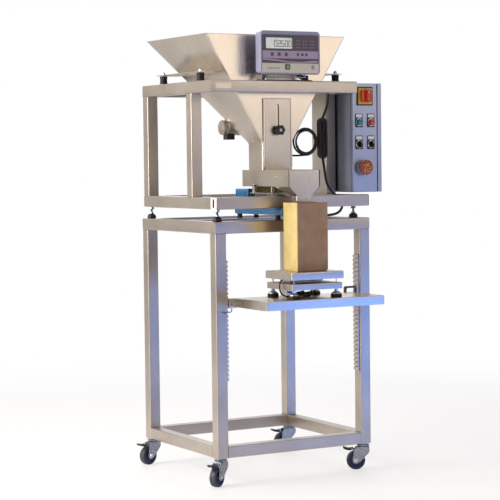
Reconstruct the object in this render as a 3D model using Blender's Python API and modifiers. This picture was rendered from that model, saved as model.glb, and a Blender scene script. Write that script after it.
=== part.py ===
# Vibratory weigh filler on a wheeled stand. Metres, +Z up, -Y is the operator's side.
# Everything is placed in "stand" coordinates (the stand's front left corner on the floor) under
# one root empty, which puts the origin at the bottom centre of the whole machine.
import math

import bmesh
import bpy
from mathutils import Matrix, Vector

# ---------------------------------------------------------------- driving dimensions
CENTRE_X = 0.3214          # middle of the machine, cabinet included
CENTRE_Y = 0.1711          # middle of the machine, shelf included
GAP = 0.0003               # clearance between touching pieces

TUBE = 0.040               # square tube of both frames
TUBE_WALL = 0.0015
TUBE_ROUND = 0.003
INSET = 0.0002             # a rail is this much slimmer than the post it is welded to

STAND_W = 0.604
STAND_D = 0.544
LEG_BASE = 0.092           # underside of the legs, on top of the casters
STAND_TOP = LEG_BASE + 0.785
CROSS_Y = 0.262            # cross rail that carries the feeder drive

UPPER_W = 0.571            # side to side over the upper frame's side rails
UPPER_BACK = 0.530
UPPER_FRONT = -0.015       # front of the lower front rail
UPPER_RAIL_END = 0.590     # right end of the lower front rail
UPPER_BASE = STAND_TOP + 0.0405
UPPER_TOP = UPPER_BASE + 0.427
CAGE_FRONT = 0.020         # front of the upper front rail
POST_Y = 0.160             # front of the forward posts
WIDE_POST = 0.095          # depth of the right forward post, which carries the cabinet

CASTER_WHEEL_R = 0.0325
CASTER_WHEEL_W = 0.024
CASTER_TRAIL = 0.026
CASTER_TURN = {"fl": 211.0, "bl": 196.0, "fr": 150.0, "br": 172.0}

HOPPER_X = (0.014, 0.556)
HOPPER_Y = (0.075, 0.517)
HOPPER_RIM = LEG_BASE + 1.407
THROAT_X = (0.2250, 0.3415)
THROAT_Y = (0.075, 0.172)
THROAT_TOP = LEG_BASE + 1.045
THROAT_END = LEG_BASE + 0.931
SHEET = 0.002
EAR_Z = UPPER_TOP + 0.0285
ISOLATORS = {"fl": (0.020, 0.128), "bl": (0.020, 0.402), "fr": (0.551, 0.128), "br": (0.551, 0.402)}

GATE_X = (0.2335, 0.3330)
GATE_Z = (LEG_BASE + 0.948, LEG_BASE + 1.195)
GATE_STUD_Z = LEG_BASE + 1.087
MID_X = 0.28325            # centre line of hopper, trough, spout and bag

TROUGH_X = (0.2210, 0.3455)
TROUGH_Y = (-0.0985, 0.210)
TROUGH_Z = (LEG_BASE + 0.897, LEG_BASE + 0.953)
SPOUT_X = (0.2250, 0.3415)
SPOUT_Y = (-0.100, -0.0003)
SPOUT_TIP_X = (0.2535, 0.3130)
SPOUT_TIP_Y = (-0.100, -0.062)
SPOUT_TIP_Z = LEG_BASE + 0.8505

SHELF_X = (0.072, 0.527)
SHELF_Y = (-0.205, 0.003)
SHELF_TOP = LEG_BASE + 0.5315
SHELF_APRON = 0.030
RACK_Z = (LEG_BASE + 0.253, LEG_BASE + 0.660)
RACK_PITCH = 0.015
RACK_DEPTH = 0.0085

PAN_X = (0.183, 0.3835)
PAN_Y = (-0.180, -0.006)
PAN_TOP = LEG_BASE + 0.619
BASE_X = (0.192, 0.377)
BASE_Y = (-0.170, -0.012)
BASE_Z = (LEG_BASE + 0.560, LEG_BASE + 0.581)

BAG_X = (0.223, 0.3435)
BAG_Y = (-0.150, -0.056)
BAG_TOP = LEG_BASE + 0.847

CASE_X = (0.1765, 0.4085)
CASE_Y = (-0.006, 0.038)
CASE_Z = (LEG_BASE + 1.272, LEG_BASE + 1.4165)
TILT_AXIS = (0.032, LEG_BASE + 1.2640)

CAB_X = (0.575, 0.695)
CAB_Y = (0.056, 0.250)
CAB_Z = (LEG_BASE + 0.871, LEG_BASE + 1.2490)
DOOR_X = (0.5755, 0.6755)
DOOR_T = 0.012
HINGE_X = 0.6768

CABLE_R = 0.0035

# ---------------------------------------------------------------- scene and helpers
for old in list(bpy.data.objects):
    bpy.data.objects.remove(old, do_unlink=True)

machine = bpy.data.collections.new("weigh_filler")
cutters = bpy.data.collections.new("cutters")
bpy.context.scene.collection.children.link(machine)
bpy.context.scene.collection.children.link(cutters)

root = bpy.data.objects.new("machine_origin", None)
root.location = (-CENTRE_X, -CENTRE_Y, 0)
machine.objects.link(root)


def material(name, colour, metallic, roughness):
    mat = bpy.data.materials.new(name)
    mat.use_nodes = True
    shader = mat.node_tree.nodes["Principled BSDF"]
    shader.inputs["Base Color"].default_value = (*colour, 1)
    shader.inputs["Metallic"].default_value = metallic
    shader.inputs["Roughness"].default_value = roughness
    return mat


STEEL = material("stainless", (0.52, 0.49, 0.46), 1.0, 0.32)
SHEETMETAL = material("brushed_sheet", (0.60, 0.57, 0.52), 1.0, 0.28)
ZINC = material("zinc_plate", (0.45, 0.46, 0.50), 1.0, 0.35)
TYRE = material("grey_tyre", (0.06, 0.07, 0.10), 0.0, 0.55)
BLACK = material("black_plastic", (0.02, 0.02, 0.02), 0.0, 0.45)
RUBBER = material("black_rubber", (0.015, 0.015, 0.015), 0.0, 0.7)
WHITE = material("white_plug", (0.85, 0.83, 0.82), 0.0, 0.4)
BLUE = material("blue_paint", (0.06, 0.18, 0.38), 0.0, 0.4)
PANEL = material("cabinet_steel", (0.50, 0.56, 0.66), 0.9, 0.35)
CASING = material("indicator_casing", (0.55, 0.56, 0.62), 0.3, 0.4)
RED = material("red_plastic", (0.70, 0.04, 0.02), 0.0, 0.35)
GREEN = material("green_plastic", (0.02, 0.25, 0.15), 0.0, 0.35)
ORANGE = material("orange_knob", (0.62, 0.16, 0.03), 0.0, 0.3)
KRAFT = material("kraft_paper", (0.42, 0.25, 0.14), 0.0, 0.85)
ALLOY = material("aluminium_block", (0.65, 0.66, 0.68), 1.0, 0.3)
CORD = material("cable_jacket", (0.01, 0.01, 0.012), 0.0, 0.5)


def place(obj, mat, parent=root, group=machine):
    group.objects.link(obj)
    obj.parent = parent
    if mat:
        obj.data.materials.append(mat)
    return obj


def as_cutter(obj):
    machine.objects.unlink(obj)
    cutters.objects.link(obj)
    obj.hide_render = True
    obj.display_type = "WIRE"
    return obj


def add_box(bm, low, high):
    """A box from one corner to the other, added to a bmesh."""
    size = [high[i] - low[i] for i in range(3)]
    middle = [(high[i] + low[i]) / 2 for i in range(3)]
    matrix = Matrix.Translation(middle) @ Matrix.Diagonal((*size, 1))
    return bmesh.ops.create_cube(bm, size=1, matrix=matrix)["verts"]


def finish_mesh(name, bm, mat, parent=root, smooth=30.0):
    mesh = bpy.data.meshes.new(name)
    bm.normal_update()
    bm.to_mesh(mesh)
    bm.free()
    if smooth:
        mesh.shade_smooth()
        mesh.set_sharp_from_angle(angle=math.radians(smooth))
    return place(bpy.data.objects.new(name, mesh), mat, parent)


def box(name, low, high, mat, edge=0.0, parent=root):
    """A block centred on its own origin, with rounded edges when edge is given."""
    middle = [(high[i] + low[i]) / 2 for i in range(3)]
    bm = bmesh.new()
    add_box(bm, [low[i] - middle[i] for i in range(3)], [high[i] - middle[i] for i in range(3)])
    obj = finish_mesh(name, bm, mat, parent)
    obj.location = middle
    if edge:
        bevel = obj.modifiers.new("edges", "BEVEL")
        bevel.width = edge
        bevel.segments = 2
    return obj


def cylinder(name, radius, low, high, axis, centre, mat, sides=24, parent=root):
    """A round bar along one axis; centre holds the other two coordinates in X, Y, Z order."""
    turn = {"x": Matrix.Rotation(math.pi / 2, 4, "Y"), "y": Matrix.Rotation(-math.pi / 2, 4, "X"),
            "z": Matrix.Identity(4)}[axis]
    along = "xyz".index(axis)
    spot = list(centre)
    spot.insert(along, (low + high) / 2)
    bm = bmesh.new()
    bmesh.ops.create_cone(bm, cap_ends=True, segments=sides, radius1=radius, radius2=radius,
                          depth=high - low, matrix=turn)
    obj = finish_mesh(name, bm, mat, parent)
    obj.location = spot
    return obj


def boolean(obj, other, operation="DIFFERENCE", own=False):
    mod = obj.modifiers.new(operation.lower() + "_" + other.name, "BOOLEAN")
    mod.operation = operation
    mod.solver = "EXACT"
    mod.use_self = own
    mod.object = as_cutter(other)
    return obj


def join(obj, *others):
    for other in others:
        boolean(obj, other, "UNION")
    return obj


def cut(obj, *others):
    for other in others:
        boolean(obj, other)
    return obj


def outline(name, points, thickness, mat, parent=root, holes=()):
    """A flat outline in X and Y, extruded evenly about Z = 0, as a welded mesh."""
    if not holes:
        bm = bmesh.new()
        sheet = bm.faces.new([bm.verts.new((x, y, -thickness / 2)) for x, y in points])
        far = bmesh.ops.extrude_face_region(bm, geom=[sheet], use_keep_orig=True)["geom"]
        bmesh.ops.translate(bm, verts=[v for v in far if isinstance(v, bmesh.types.BMVert)],
                            vec=(0, 0, thickness))
        bmesh.ops.recalc_face_normals(bm, faces=bm.faces)
        return finish_mesh(name, bm, mat, parent)
    curve = bpy.data.curves.new(name, "CURVE")
    curve.dimensions = "2D"
    curve.fill_mode = "BOTH"
    curve.extrude = thickness / 2
    for ring in (points, *holes):
        spline = curve.splines.new("POLY")
        spline.points.add(len(ring) - 1)
        for point, (x, y) in zip(spline.points, ring):
            point.co = (x, y, 0, 1)
        spline.use_cyclic_u = True
    return curve_to_mesh(name, curve, mat, parent)


def curve_to_mesh(name, curve, mat, parent=root):
    holder = bpy.data.objects.new(name + "_curve", curve)
    machine.objects.link(holder)
    mesh = bpy.data.meshes.new_from_object(holder.evaluated_get(bpy.context.evaluated_depsgraph_get()))
    bpy.data.objects.remove(holder)
    mesh.name = name
    mesh.materials.clear()
    bm = bmesh.new()
    bm.from_mesh(mesh)
    bmesh.ops.remove_doubles(bm, verts=bm.verts, dist=0.00001)
    bmesh.ops.recalc_face_normals(bm, faces=bm.faces)
    bm.to_mesh(mesh)
    bm.free()
    mesh.shade_smooth()
    mesh.set_sharp_from_angle(angle=math.radians(30))
    return place(bpy.data.objects.new(name, mesh), mat, parent)


def smooth_path(points, steps):
    """Catmull-Rom points through the route's own points."""
    spots = [Vector(p) for p in points]
    spots = [2 * spots[0] - spots[1]] + spots + [2 * spots[-1] - spots[-2]]
    path = []
    for a, b, c, d in zip(spots, spots[1:], spots[2:], spots[3:]):
        for step in range(steps):
            t = step / steps
            path.append(0.5 * (2 * b + (c - a) * t + (2 * a - 5 * b + 4 * c - d) * t * t
                               + (3 * b - a - 3 * c + d) * t ** 3))
    return path + [spots[-2]]


def cable(name, points, radius, mat, steps=5, parent=root):
    curve = bpy.data.curves.new(name, "CURVE")
    curve.dimensions = "3D"
    curve.bevel_depth = radius
    curve.bevel_resolution = 2
    curve.use_fill_caps = True
    path = smooth_path(points, steps)
    spline = curve.splines.new("POLY")
    spline.points.add(len(path) - 1)
    for point, spot in zip(spline.points, path):
        point.co = (*spot, 1)
    return curve_to_mesh(name, curve, mat, parent)


def turned(name, profile, mat, steps=24, parent=root, closed=False):
    """A profile of (radius, height) points, turned about Z. It runs down the outer side."""
    bm = bmesh.new()
    verts = [bm.verts.new((radius, 0, height)) for radius, height in profile]
    for a, b in zip(verts, verts[1:]):
        bm.edges.new((a, b))
    if closed:
        bm.edges.new((verts[-1], verts[0]))
    obj = finish_mesh(name, bm, mat, parent, smooth=0)
    screw = obj.modifiers.new("turn", "SCREW")
    screw.steps = steps
    screw.render_steps = steps
    screw.use_merge_vertices = True
    screw.merge_threshold = 0.00001
    screw.use_smooth_shade = True
    return obj


def arc(centre, radius, start, end, count):
    """Points on an arc, angles in degrees, both ends included."""
    angles = [math.radians(start + (end - start) * i / (count - 1)) for i in range(count)]
    return [(centre[0] + radius * math.cos(a), centre[1] + radius * math.sin(a)) for a in angles]


def rounded(low, high, radius, count=4):
    """Corner points of a rounded rectangle."""
    (x0, y0), (x1, y1) = low, high
    corners = (((x1 - radius, y0 + radius), -90), ((x1 - radius, y1 - radius), 0),
               ((x0 + radius, y1 - radius), 90), ((x0 + radius, y0 + radius), 180))
    return [p for centre, start in corners for p in arc(centre, radius, start, start + 90, count)]


# ---------------------------------------------------------------- welded tube frames
def welded_frame(name, bars, vents, mat=STEEL):
    """Square tubes welded into one piece. bars are (low, high, axis); the hollow runs on from
    tube to tube and comes out through the vents."""
    bm = bmesh.new()
    for low, high, axis in bars:
        verts = add_box(bm, low, high)
        along = "xyz".index(axis)
        edges = {e for v in verts for e in v.link_edges
                 if abs(e.verts[0].co[along] - e.verts[1].co[along]) > 0.001}
        bmesh.ops.bevel(bm, geom=list(edges), offset=TUBE_ROUND, segments=2, affect="EDGES",
                        profile=0.5)
    frame = finish_mesh(name, bm, mat)
    bm = bmesh.new()
    for low, high, axis in bars:
        slim = [TUBE_WALL] * 3
        add_box(bm, [low[i] + slim[i] for i in range(3)], [high[i] - slim[i] for i in range(3)])
    for low, high in vents:
        add_box(bm, low, high)
    hollow = finish_mesh(name + "_hollow", bm, None, smooth=0)
    return boolean(frame, hollow, own=True)


def upright(x, y, z0, z1, depth=TUBE):
    return (x, y, z0), (x + TUBE, y + depth, z1), "z"


def rail(low, high, axis):
    """A rail, a hair slimmer than a post across its own axis."""
    slim = [0.0 if "xyz"[i] == axis else INSET for i in range(3)]
    return ([low[i] + slim[i] for i in range(3)], [high[i] - slim[i] for i in range(3)], axis)


def bore_up(x, y, z0, z1):
    """The hollow of an upright, run out past one end."""
    return (x + TUBE_WALL, y + TUBE_WALL, z0), (x + TUBE - TUBE_WALL, y + TUBE - TUBE_WALL, z1)


def make_stand():
    low, high = LEG_BASE, LEG_BASE + TUBE
    right, back = STAND_W - TUBE, STAND_D - TUBE
    ring = STAND_TOP - TUBE
    corners = [(0, 0), (right, 0), (0, back), (right, back)]
    bars = [upright(x, y, low, ring - GAP) for x, y in corners]
    inner = TUBE / 2
    bars += [rail((inner, 0, low), (STAND_W - inner, TUBE, high), "x"),
             rail((inner, back, low), (STAND_W - inner, STAND_D, high), "x"),
             rail((0, inner, low), (TUBE, STAND_D - inner, high), "y"),
             rail((right, inner, low), (STAND_W, STAND_D - inner, high), "y")]
    vents = [bore_up(x, y, ring - 0.01, ring + 0.01) for x, y in corners]
    welded_frame("stand_legs", bars, vents)

    bars = [rail((0, 0, ring), (STAND_W, TUBE, STAND_TOP), "x"),
            rail((0, back, ring), (STAND_W, STAND_D, STAND_TOP), "x"),
            ((0, inner, ring), (TUBE, STAND_D - inner, STAND_TOP), "y"),
            ((right, inner, ring), (STAND_W, STAND_D - inner, STAND_TOP), "y"),
            ((inner, CROSS_Y, ring + 0.001), (STAND_W - inner, CROSS_Y + TUBE, STAND_TOP - 0.001), "x")]
    vents = [bore_up(x, y, ring - 0.01, ring + 0.01) for x, y in corners]
    welded_frame("stand_top_ring", bars, vents)


def make_upper_frame():
    low, high = UPPER_BASE, UPPER_BASE + TUBE
    right = UPPER_W - TUBE
    back = UPPER_BACK - TUBE
    front = UPPER_FRONT + TUBE
    inner = TUBE / 2
    bars = [((0, UPPER_FRONT, low), (UPPER_RAIL_END, front, high), "x"),
            rail((0, front - inner, low), (TUBE, UPPER_BACK - inner, high), "y"),
            rail((right, front - inner, low), (UPPER_W, UPPER_BACK - inner, high), "y"),
            ((0, back, low), (UPPER_W, UPPER_BACK, high), "x")]
    vents = [((x - 0.01, UPPER_FRONT + TUBE_WALL, low + TUBE_WALL),
              (x + 0.01, front - TUBE_WALL, high - TUBE_WALL)) for x in (0, UPPER_RAIL_END)]
    welded_frame("upper_base_ring", bars, vents)

    top = UPPER_TOP
    ring = top - TUBE
    foot = high + GAP
    posts = [(0, back, TUBE), (right, back, TUBE), (0, POST_Y, TUBE), (right, POST_Y, WIDE_POST)]
    bars = [upright(x, y, foot, top - inner, depth) for x, y, depth in posts]
    bars += [((0, CAGE_FRONT, ring), (TUBE, UPPER_BACK, top), "y"),
             ((right, CAGE_FRONT, ring), (UPPER_W, UPPER_BACK, top), "y"),
             rail((inner, CAGE_FRONT, ring), (UPPER_W - inner, CAGE_FRONT + TUBE, top), "x"),
             rail((inner, back, ring), (UPPER_W - inner, UPPER_BACK, top), "x")]
    bars = [(lo, hi, axis) if axis != "z" else
            ((lo[0] + INSET, lo[1] + INSET, lo[2]), (hi[0] - INSET, hi[1] - INSET, hi[2]), axis)
            for lo, hi, axis in bars]
    vents = [bore_up(x, y, foot - 0.01, foot + 0.01) for x, y, depth in posts]
    welded_frame("upper_cage", bars, vents)


def make_end_plugs():
    """Plastic plugs in the open ends of the lower front rail."""
    middle_y = UPPER_FRONT + TUBE / 2
    middle_z = UPPER_BASE + TUBE / 2
    half = TUBE / 2 - 0.0005
    inner = TUBE / 2 - TUBE_WALL - GAP
    for side, end, mat in (("left", 0.0, WHITE), ("right", UPPER_RAIL_END, BLACK)):
        out = -1 if side == "left" else 1
        head = sorted((end + out * GAP, end + out * 0.004))
        stem = sorted((end + out * 0.002, end - out * 0.014))
        plug = box("end_plug_" + side, (head[0], middle_y - half, middle_z - half),
                   (head[1], middle_y + half, middle_z + half), mat)
        join(plug, box("plug_stem_" + side, (stem[0], middle_y - inner, middle_z - inner),
                       (stem[1], middle_y + inner, middle_z + inner), None))


def make_levelling_feet():
    height = UPPER_BASE - STAND_TOP - GAP
    profile = [(0, height), (0.0045, height), (0.0045, height - 0.004), (0.0085, height - 0.004),
               (0.0085, height - 0.010), (0.0045, height - 0.010), (0.0045, 0.017), (0.008, 0.0155),
               (0.013, 0.012), (0.0155, 0.006), (0.016, GAP), (0, GAP)]
    spots = {"fl": (0.018, 0.020), "fr": (0.551, 0.020), "bl": (0.020, 0.511), "br": (0.551, 0.511)}
    for corner, (x, y) in spots.items():
        foot = turned("frame_foot_" + corner, profile, BLACK, steps=16)
        foot.location = (x, y, STAND_TOP)


# ---------------------------------------------------------------- casters
def make_casters():
    half = TUBE / 2
    spots = {"fl": (half, half), "fr": (STAND_W - half, half),
             "bl": (half, STAND_D - half), "br": (STAND_W - half, STAND_D - half)}
    for corner, (x, y) in spots.items():
        swivel = bpy.data.objects.new("caster_swivel_" + corner, None)
        machine.objects.link(swivel)
        swivel.parent = root
        swivel.location = (x, y, 0)
        swivel.rotation_euler = (0, 0, math.radians(CASTER_TURN[corner]))
        make_caster(corner, swivel)


def make_caster(corner, swivel):
    crown, slot = 0.0800, 0.0690
    inside, outside = 0.0138, 0.0163
    side = [(-0.021, crown), (-0.021, 0.064), (0.0135, 0.0275)]
    side += arc((CASTER_TRAIL, CASTER_WHEEL_R), 0.0115, 205, 380, 7)
    side += [(0.033, 0.066), (0.021, crown)]
    fork = outline("caster_fork_" + corner, side, 2 * outside, ZINC, swivel)
    fork.rotation_euler = (math.pi / 2, 0, 0)
    cut(fork, box("fork_slot_" + corner, (-0.03, -inside, 0), (0.08, inside, slot), None,
                  parent=swivel))
    join(fork,
         cylinder("fork_neck_" + corner, 0.013, crown - 0.002, LEG_BASE - GAP, "z", (0, 0), None,
                  parent=swivel),
         cylinder("fork_axle_" + corner, 0.004, -outside - 0.003, outside + 0.003, "y",
                  (CASTER_TRAIL, CASTER_WHEEL_R), None, 12, parent=swivel))

    radius, half = CASTER_WHEEL_R, CASTER_WHEEL_W / 2
    profile = [(0.0045, half), (0.0110, half), (0.0125, half - 0.003), (0.0225, half - 0.003),
               (0.0240, half), (0.0300, half), (radius, half - 0.004), (radius, 0.004 - half),
               (0.0300, -half), (0.0240, -half), (0.0225, 0.003 - half), (0.0125, 0.003 - half),
               (0.0110, -half), (0.0045, -half)]
    wheel = turned("caster_wheel_" + corner, profile, TYRE, 16, swivel, closed=True)
    wheel.location = (CASTER_TRAIL, 0, CASTER_WHEEL_R)
    wheel.rotation_euler = (math.pi / 2, 0, 0)

    pedal = [(0.0350, 0.0690), (0.0500, 0.0668), (0.0680, 0.0725), (0.0715, 0.0785),
             (0.0670, 0.0795), (0.0520, 0.0745), (0.0350, 0.0770)]
    brake = outline("caster_brake_" + corner, pedal, 0.025, BLACK, swivel)
    brake.rotation_euler = (math.pi / 2, 0, 0)


# ---------------------------------------------------------------- racks and shelf
def make_racks():
    """Saw-tooth strips on the inner faces of the front legs."""
    teeth = int((RACK_Z[1] - RACK_Z[0]) / RACK_PITCH)
    for side in ("left", "right"):
        points = [(0, RACK_Z[0]), (0.003, RACK_Z[0])]
        for tooth in range(teeth):
            base = RACK_Z[0] + tooth * RACK_PITCH
            points += [(0.003, base + 0.003), (RACK_DEPTH, base + 0.0045), (RACK_DEPTH, base + 0.012)]
        points += [(0.003, RACK_Z[0] + teeth * RACK_PITCH), (0, RACK_Z[0] + teeth * RACK_PITCH)]
        rack = outline("shelf_rack_" + side, points, 0.026, STEEL)
        rack.rotation_euler = (math.pi / 2, 0, 0)
        rack.location = (TUBE + GAP, TUBE / 2, 0)
        if side == "right":
            rack.rotation_euler = (math.pi / 2, 0, math.pi)
            rack.location = (STAND_W - TUBE - GAP, TUBE / 2, 0)


def tray_shell(name, low, high, mat, thickness=SHEET):
    """An upside-down tray: a flat top with four folded aprons."""
    bm = bmesh.new()
    add_box(bm, low, high)
    bottom = [f for f in bm.faces if all(abs(v.co.z - low[2]) < 1e-6 for v in f.verts)]
    bmesh.ops.delete(bm, geom=bottom, context="FACES")
    obj = finish_mesh(name, bm, mat, smooth=0)
    shell = obj.modifiers.new("sheet", "SOLIDIFY")
    shell.thickness = thickness
    shell.offset = -1
    shell.use_even_offset = True
    return obj


def make_shelf():
    bottom = SHELF_TOP - SHELF_APRON
    tray = tray_shell("shelf_tray", (SHELF_X[0], SHELF_Y[0], bottom), (SHELF_X[1], SHELF_Y[1], SHELF_TOP),
                      SHEETMETAL)
    hook_y = (SHELF_Y[1] - 0.001, 0.030)
    left = TUBE + RACK_DEPTH + 3 * GAP
    right = STAND_W - left
    join(tray,
         box("hook_left", (left, hook_y[0], bottom - 0.004),
             (left + 0.030, hook_y[1], SHELF_TOP - 0.001), None),
         box("hook_right", (right - 0.040, hook_y[0], bottom - 0.004),
             (right, hook_y[1], SHELF_TOP - 0.0165),
             None))

    pin = (left + 0.017, 0.017)
    top = bottom - 0.004 - GAP
    cable("shelf_lock_lever",
          [(*pin, top), (*pin, top - 0.010), (pin[0] - 0.012, pin[1] - 0.009, top - 0.0125),
           (0.026, -0.010, top - 0.013)], 0.0022, ZINC, 3)

    loop = outline("shelf_handle", rounded((0, 0), (0.050, 0.035), 0.005), 0.006, ZINC,
                   holes=(rounded((0.009, 0.010), (0.041, 0.028), 0.003),))
    loop.rotation_euler = (math.pi / 2, 0, 0)
    loop.location = (right - 0.0505, 0.0095, SHELF_TOP - 0.0165 + GAP)


# ---------------------------------------------------------------- bench scale and bag
def make_scale():
    tray_shell("scale_pan", (PAN_X[0], PAN_Y[0], PAN_TOP - 0.025), (PAN_X[1], PAN_Y[1], PAN_TOP),
               SHEETMETAL)

    mid_y = (BASE_Y[0] + BASE_Y[1]) / 2
    cell = box("load_cell", (0.218, mid_y - 0.015, BASE_Z[1] + 0.0025),
               (0.348, mid_y + 0.015, PAN_TOP - 0.0085),
               ALLOY)
    join(cell,
         box("cell_foot", (0.220, mid_y - 0.013, BASE_Z[1] + GAP),
             (0.255, mid_y + 0.013, BASE_Z[1] + 0.005), None),
         box("cell_head", (0.311, mid_y - 0.030, PAN_TOP - 0.0100),
             (0.346, mid_y + 0.030, PAN_TOP - SHEET - GAP),
             None))

    base = tray_shell("scale_base", (BASE_X[0], BASE_Y[0], BASE_Z[0]),
                      (BASE_X[1], BASE_Y[1], BASE_Z[1]), SHEETMETAL)
    height = BASE_Z[0] - SHELF_TOP
    inside = height + BASE_Z[1] - BASE_Z[0] - 0.001
    profile = [(0, inside), (0.005, inside), (0.005, 0.0185), (0.012, 0.016), (0.0175, 0.011),
               (0.0185, 0.0080),
               (0.0190, GAP), (0, GAP)]
    for i, (x, y) in enumerate([(0.207, -0.155), (0.362, -0.155), (0.207, -0.027), (0.362, -0.027)]):
        foot = turned("scale_foot_%d" % i, profile, None, steps=12)
        foot.location = (x, y, SHELF_TOP)
        join(base, foot)


def make_bag():
    """The open paper bag that stands on the pan, as a thin shell with its mouth up."""
    bottom = PAN_TOP + GAP
    bm = bmesh.new()
    add_box(bm, (BAG_X[0], BAG_Y[0], bottom), (BAG_X[1], BAG_Y[1], BAG_TOP))
    mouth = [f for f in bm.faces if all(abs(v.co.z - BAG_TOP) < 1e-6 for v in f.verts)]
    bmesh.ops.delete(bm, geom=mouth, context="FACES")
    bag = finish_mesh("paper_bag", bm, KRAFT, smooth=0)
    shell = bag.modifiers.new("paper", "SOLIDIFY")
    shell.thickness = 0.0012
    shell.offset = -1


# ---------------------------------------------------------------- hopper
def wall_x(z):
    """Outer X of the hopper's left wall at a height."""
    share = (HOPPER_RIM - z) / (HOPPER_RIM - THROAT_TOP)
    return HOPPER_X[0] + share * (THROAT_X[0] - HOPPER_X[0])


def loft_shell(name, rings, mat, thickness, skip=()):
    """Rectangular sections, each (x0, x1, y0, y1, z), joined by four walls. skip leaves out walls,
    each (storey, side), where the sides are 0 front, 1 right, 2 back and 3 left."""
    bm = bmesh.new()
    levels = [[bm.verts.new(p) for p in ((x0, y0, z), (x1, y0, z), (x1, y1, z), (x0, y1, z))]
              for x0, x1, y0, y1, z in rings]
    for storey, (upper, lower) in enumerate(zip(levels, levels[1:])):
        for side in range(4):
            if (storey, side) not in skip:
                nxt = (side + 1) % 4
                bm.faces.new((upper[side], lower[side], lower[nxt], upper[nxt]))
    obj = finish_mesh(name, bm, mat, smooth=0)
    shell = obj.modifiers.new("sheet", "SOLIDIFY")
    shell.thickness = thickness
    shell.offset = -1
    shell.use_even_offset = True
    return obj


def make_hopper():
    rings = [(*HOPPER_X, *HOPPER_Y, HOPPER_RIM), (*THROAT_X, *THROAT_Y, THROAT_TOP),
             (*THROAT_X, *THROAT_Y, THROAT_END)]
    shell = loft_shell("hopper_shell", rings, SHEETMETAL, SHEET)
    ear_top = EAR_Z + 0.003
    reach = wall_x(ear_top) + 0.0012
    guide_z = (LEG_BASE + 0.962, GATE_Z[1])
    guide = (GATE_X[0] - 0.0065, GATE_X[0] - 0.0005)
    mirror = 2 * MID_X
    join(shell,
         box("ear_left", (0, 0.112, EAR_Z), (reach, 0.420, ear_top), None),
         box("ear_right", (HOPPER_X[0] + HOPPER_X[1] - reach, 0.112, EAR_Z), (UPPER_W, 0.420, ear_top),
             None),
         box("guide_left", (guide[0], 0.0695, guide_z[0]), (guide[1], 0.0758, guide_z[1]), None),
         box("guide_right", (mirror - guide[1], 0.0695, guide_z[0]),
             (mirror - guide[0], 0.0758, guide_z[1]), None))

    profile = [(0, 0.0275), (0.012, 0.0275), (0.0135, 0.0255), (0.0130, 0.014), (0.0135, 0.003),
               (0.012, 0.001), (0, 0.001)]
    for corner, (x, y) in ISOLATORS.items():
        mount = turned("hopper_isolator_" + corner, profile, RUBBER, 16)
        mount.location = (x, y, UPPER_TOP)


def make_gate():
    """The plate that sets how deep the product lies in the trough, and the knob that clamps it."""
    slot_z = (GATE_STUD_Z - 0.006, GATE_STUD_Z + 0.088)
    face = (0.0705, 0.0735)
    plate = outline("hopper_gate", [(GATE_X[0], GATE_Z[0]), (GATE_X[1], GATE_Z[0]), (GATE_X[1], GATE_Z[1]),
                                    (GATE_X[0], GATE_Z[1])], face[1] - face[0], SHEETMETAL,
                    holes=(rounded((MID_X - 0.0045, slot_z[0]), (MID_X + 0.0045, slot_z[1]), 0.0044, 3),))
    plate.rotation_euler = (math.pi / 2, 0, 0)
    plate.location = (0, (face[0] + face[1]) / 2, 0)
    join(plate, box("gate_lip", (GATE_X[0], 0.0640, GATE_Z[1] - 0.003), (GATE_X[1], 0.0720, GATE_Z[1]),
                    None))

    lobes = [(r * math.cos(a), r * math.sin(a)) for a, r in
             ((math.tau * i / 36, 0.0165 + 0.0035 * math.cos(math.tau * i / 12)) for i in range(36))]
    knob = outline("gate_knob", lobes, 0.013, BLACK)
    knob.rotation_euler = (math.pi / 2, 0, 0)
    knob.location = (MID_X, 0.0545, GATE_STUD_Z)
    join(knob,
         cylinder("knob_collar", 0.0085, 0.0590, 0.0695, "y", (MID_X, GATE_STUD_Z), None, 16),
         cylinder("knob_stud", 0.0032, 0.0600, 0.0747, "y", (MID_X, GATE_STUD_Z), None, 12))


def make_vibrator():
    """Small unbalance motor on the hopper's sloping back wall, with its black terminal cap."""
    y, z, radius = 0.2670, LEG_BASE + 1.100, 0.027
    motor = cylinder("hopper_vibrator", radius, 0.170, 0.262, "x", (y, z), SHEETMETAL)
    run = (THROAT_Y[1] - HOPPER_Y[1]) / (HOPPER_RIM - THROAT_TOP)
    lean = math.atan(-run)
    foot = box("vibrator_foot", (-0.030, -0.022, -0.007), (0.030, 0.022, 0.007), None)
    normal = Vector((0, math.cos(lean), -math.sin(lean)))
    wall_y = THROAT_Y[1] - run * (z - THROAT_TOP)
    reach = (y - wall_y) * math.cos(lean)
    spot = Vector((0.216, y, z)) - normal * (reach - 0.007 - GAP)
    foot.rotation_euler = (math.pi / 2 - lean, 0, 0)
    foot.location = spot
    cap = box("vibrator_cap", (0.186, y - 0.014, z - 0.042), (0.218, y + 0.014, z - 0.020), None)
    join(motor, foot, cap)


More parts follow.
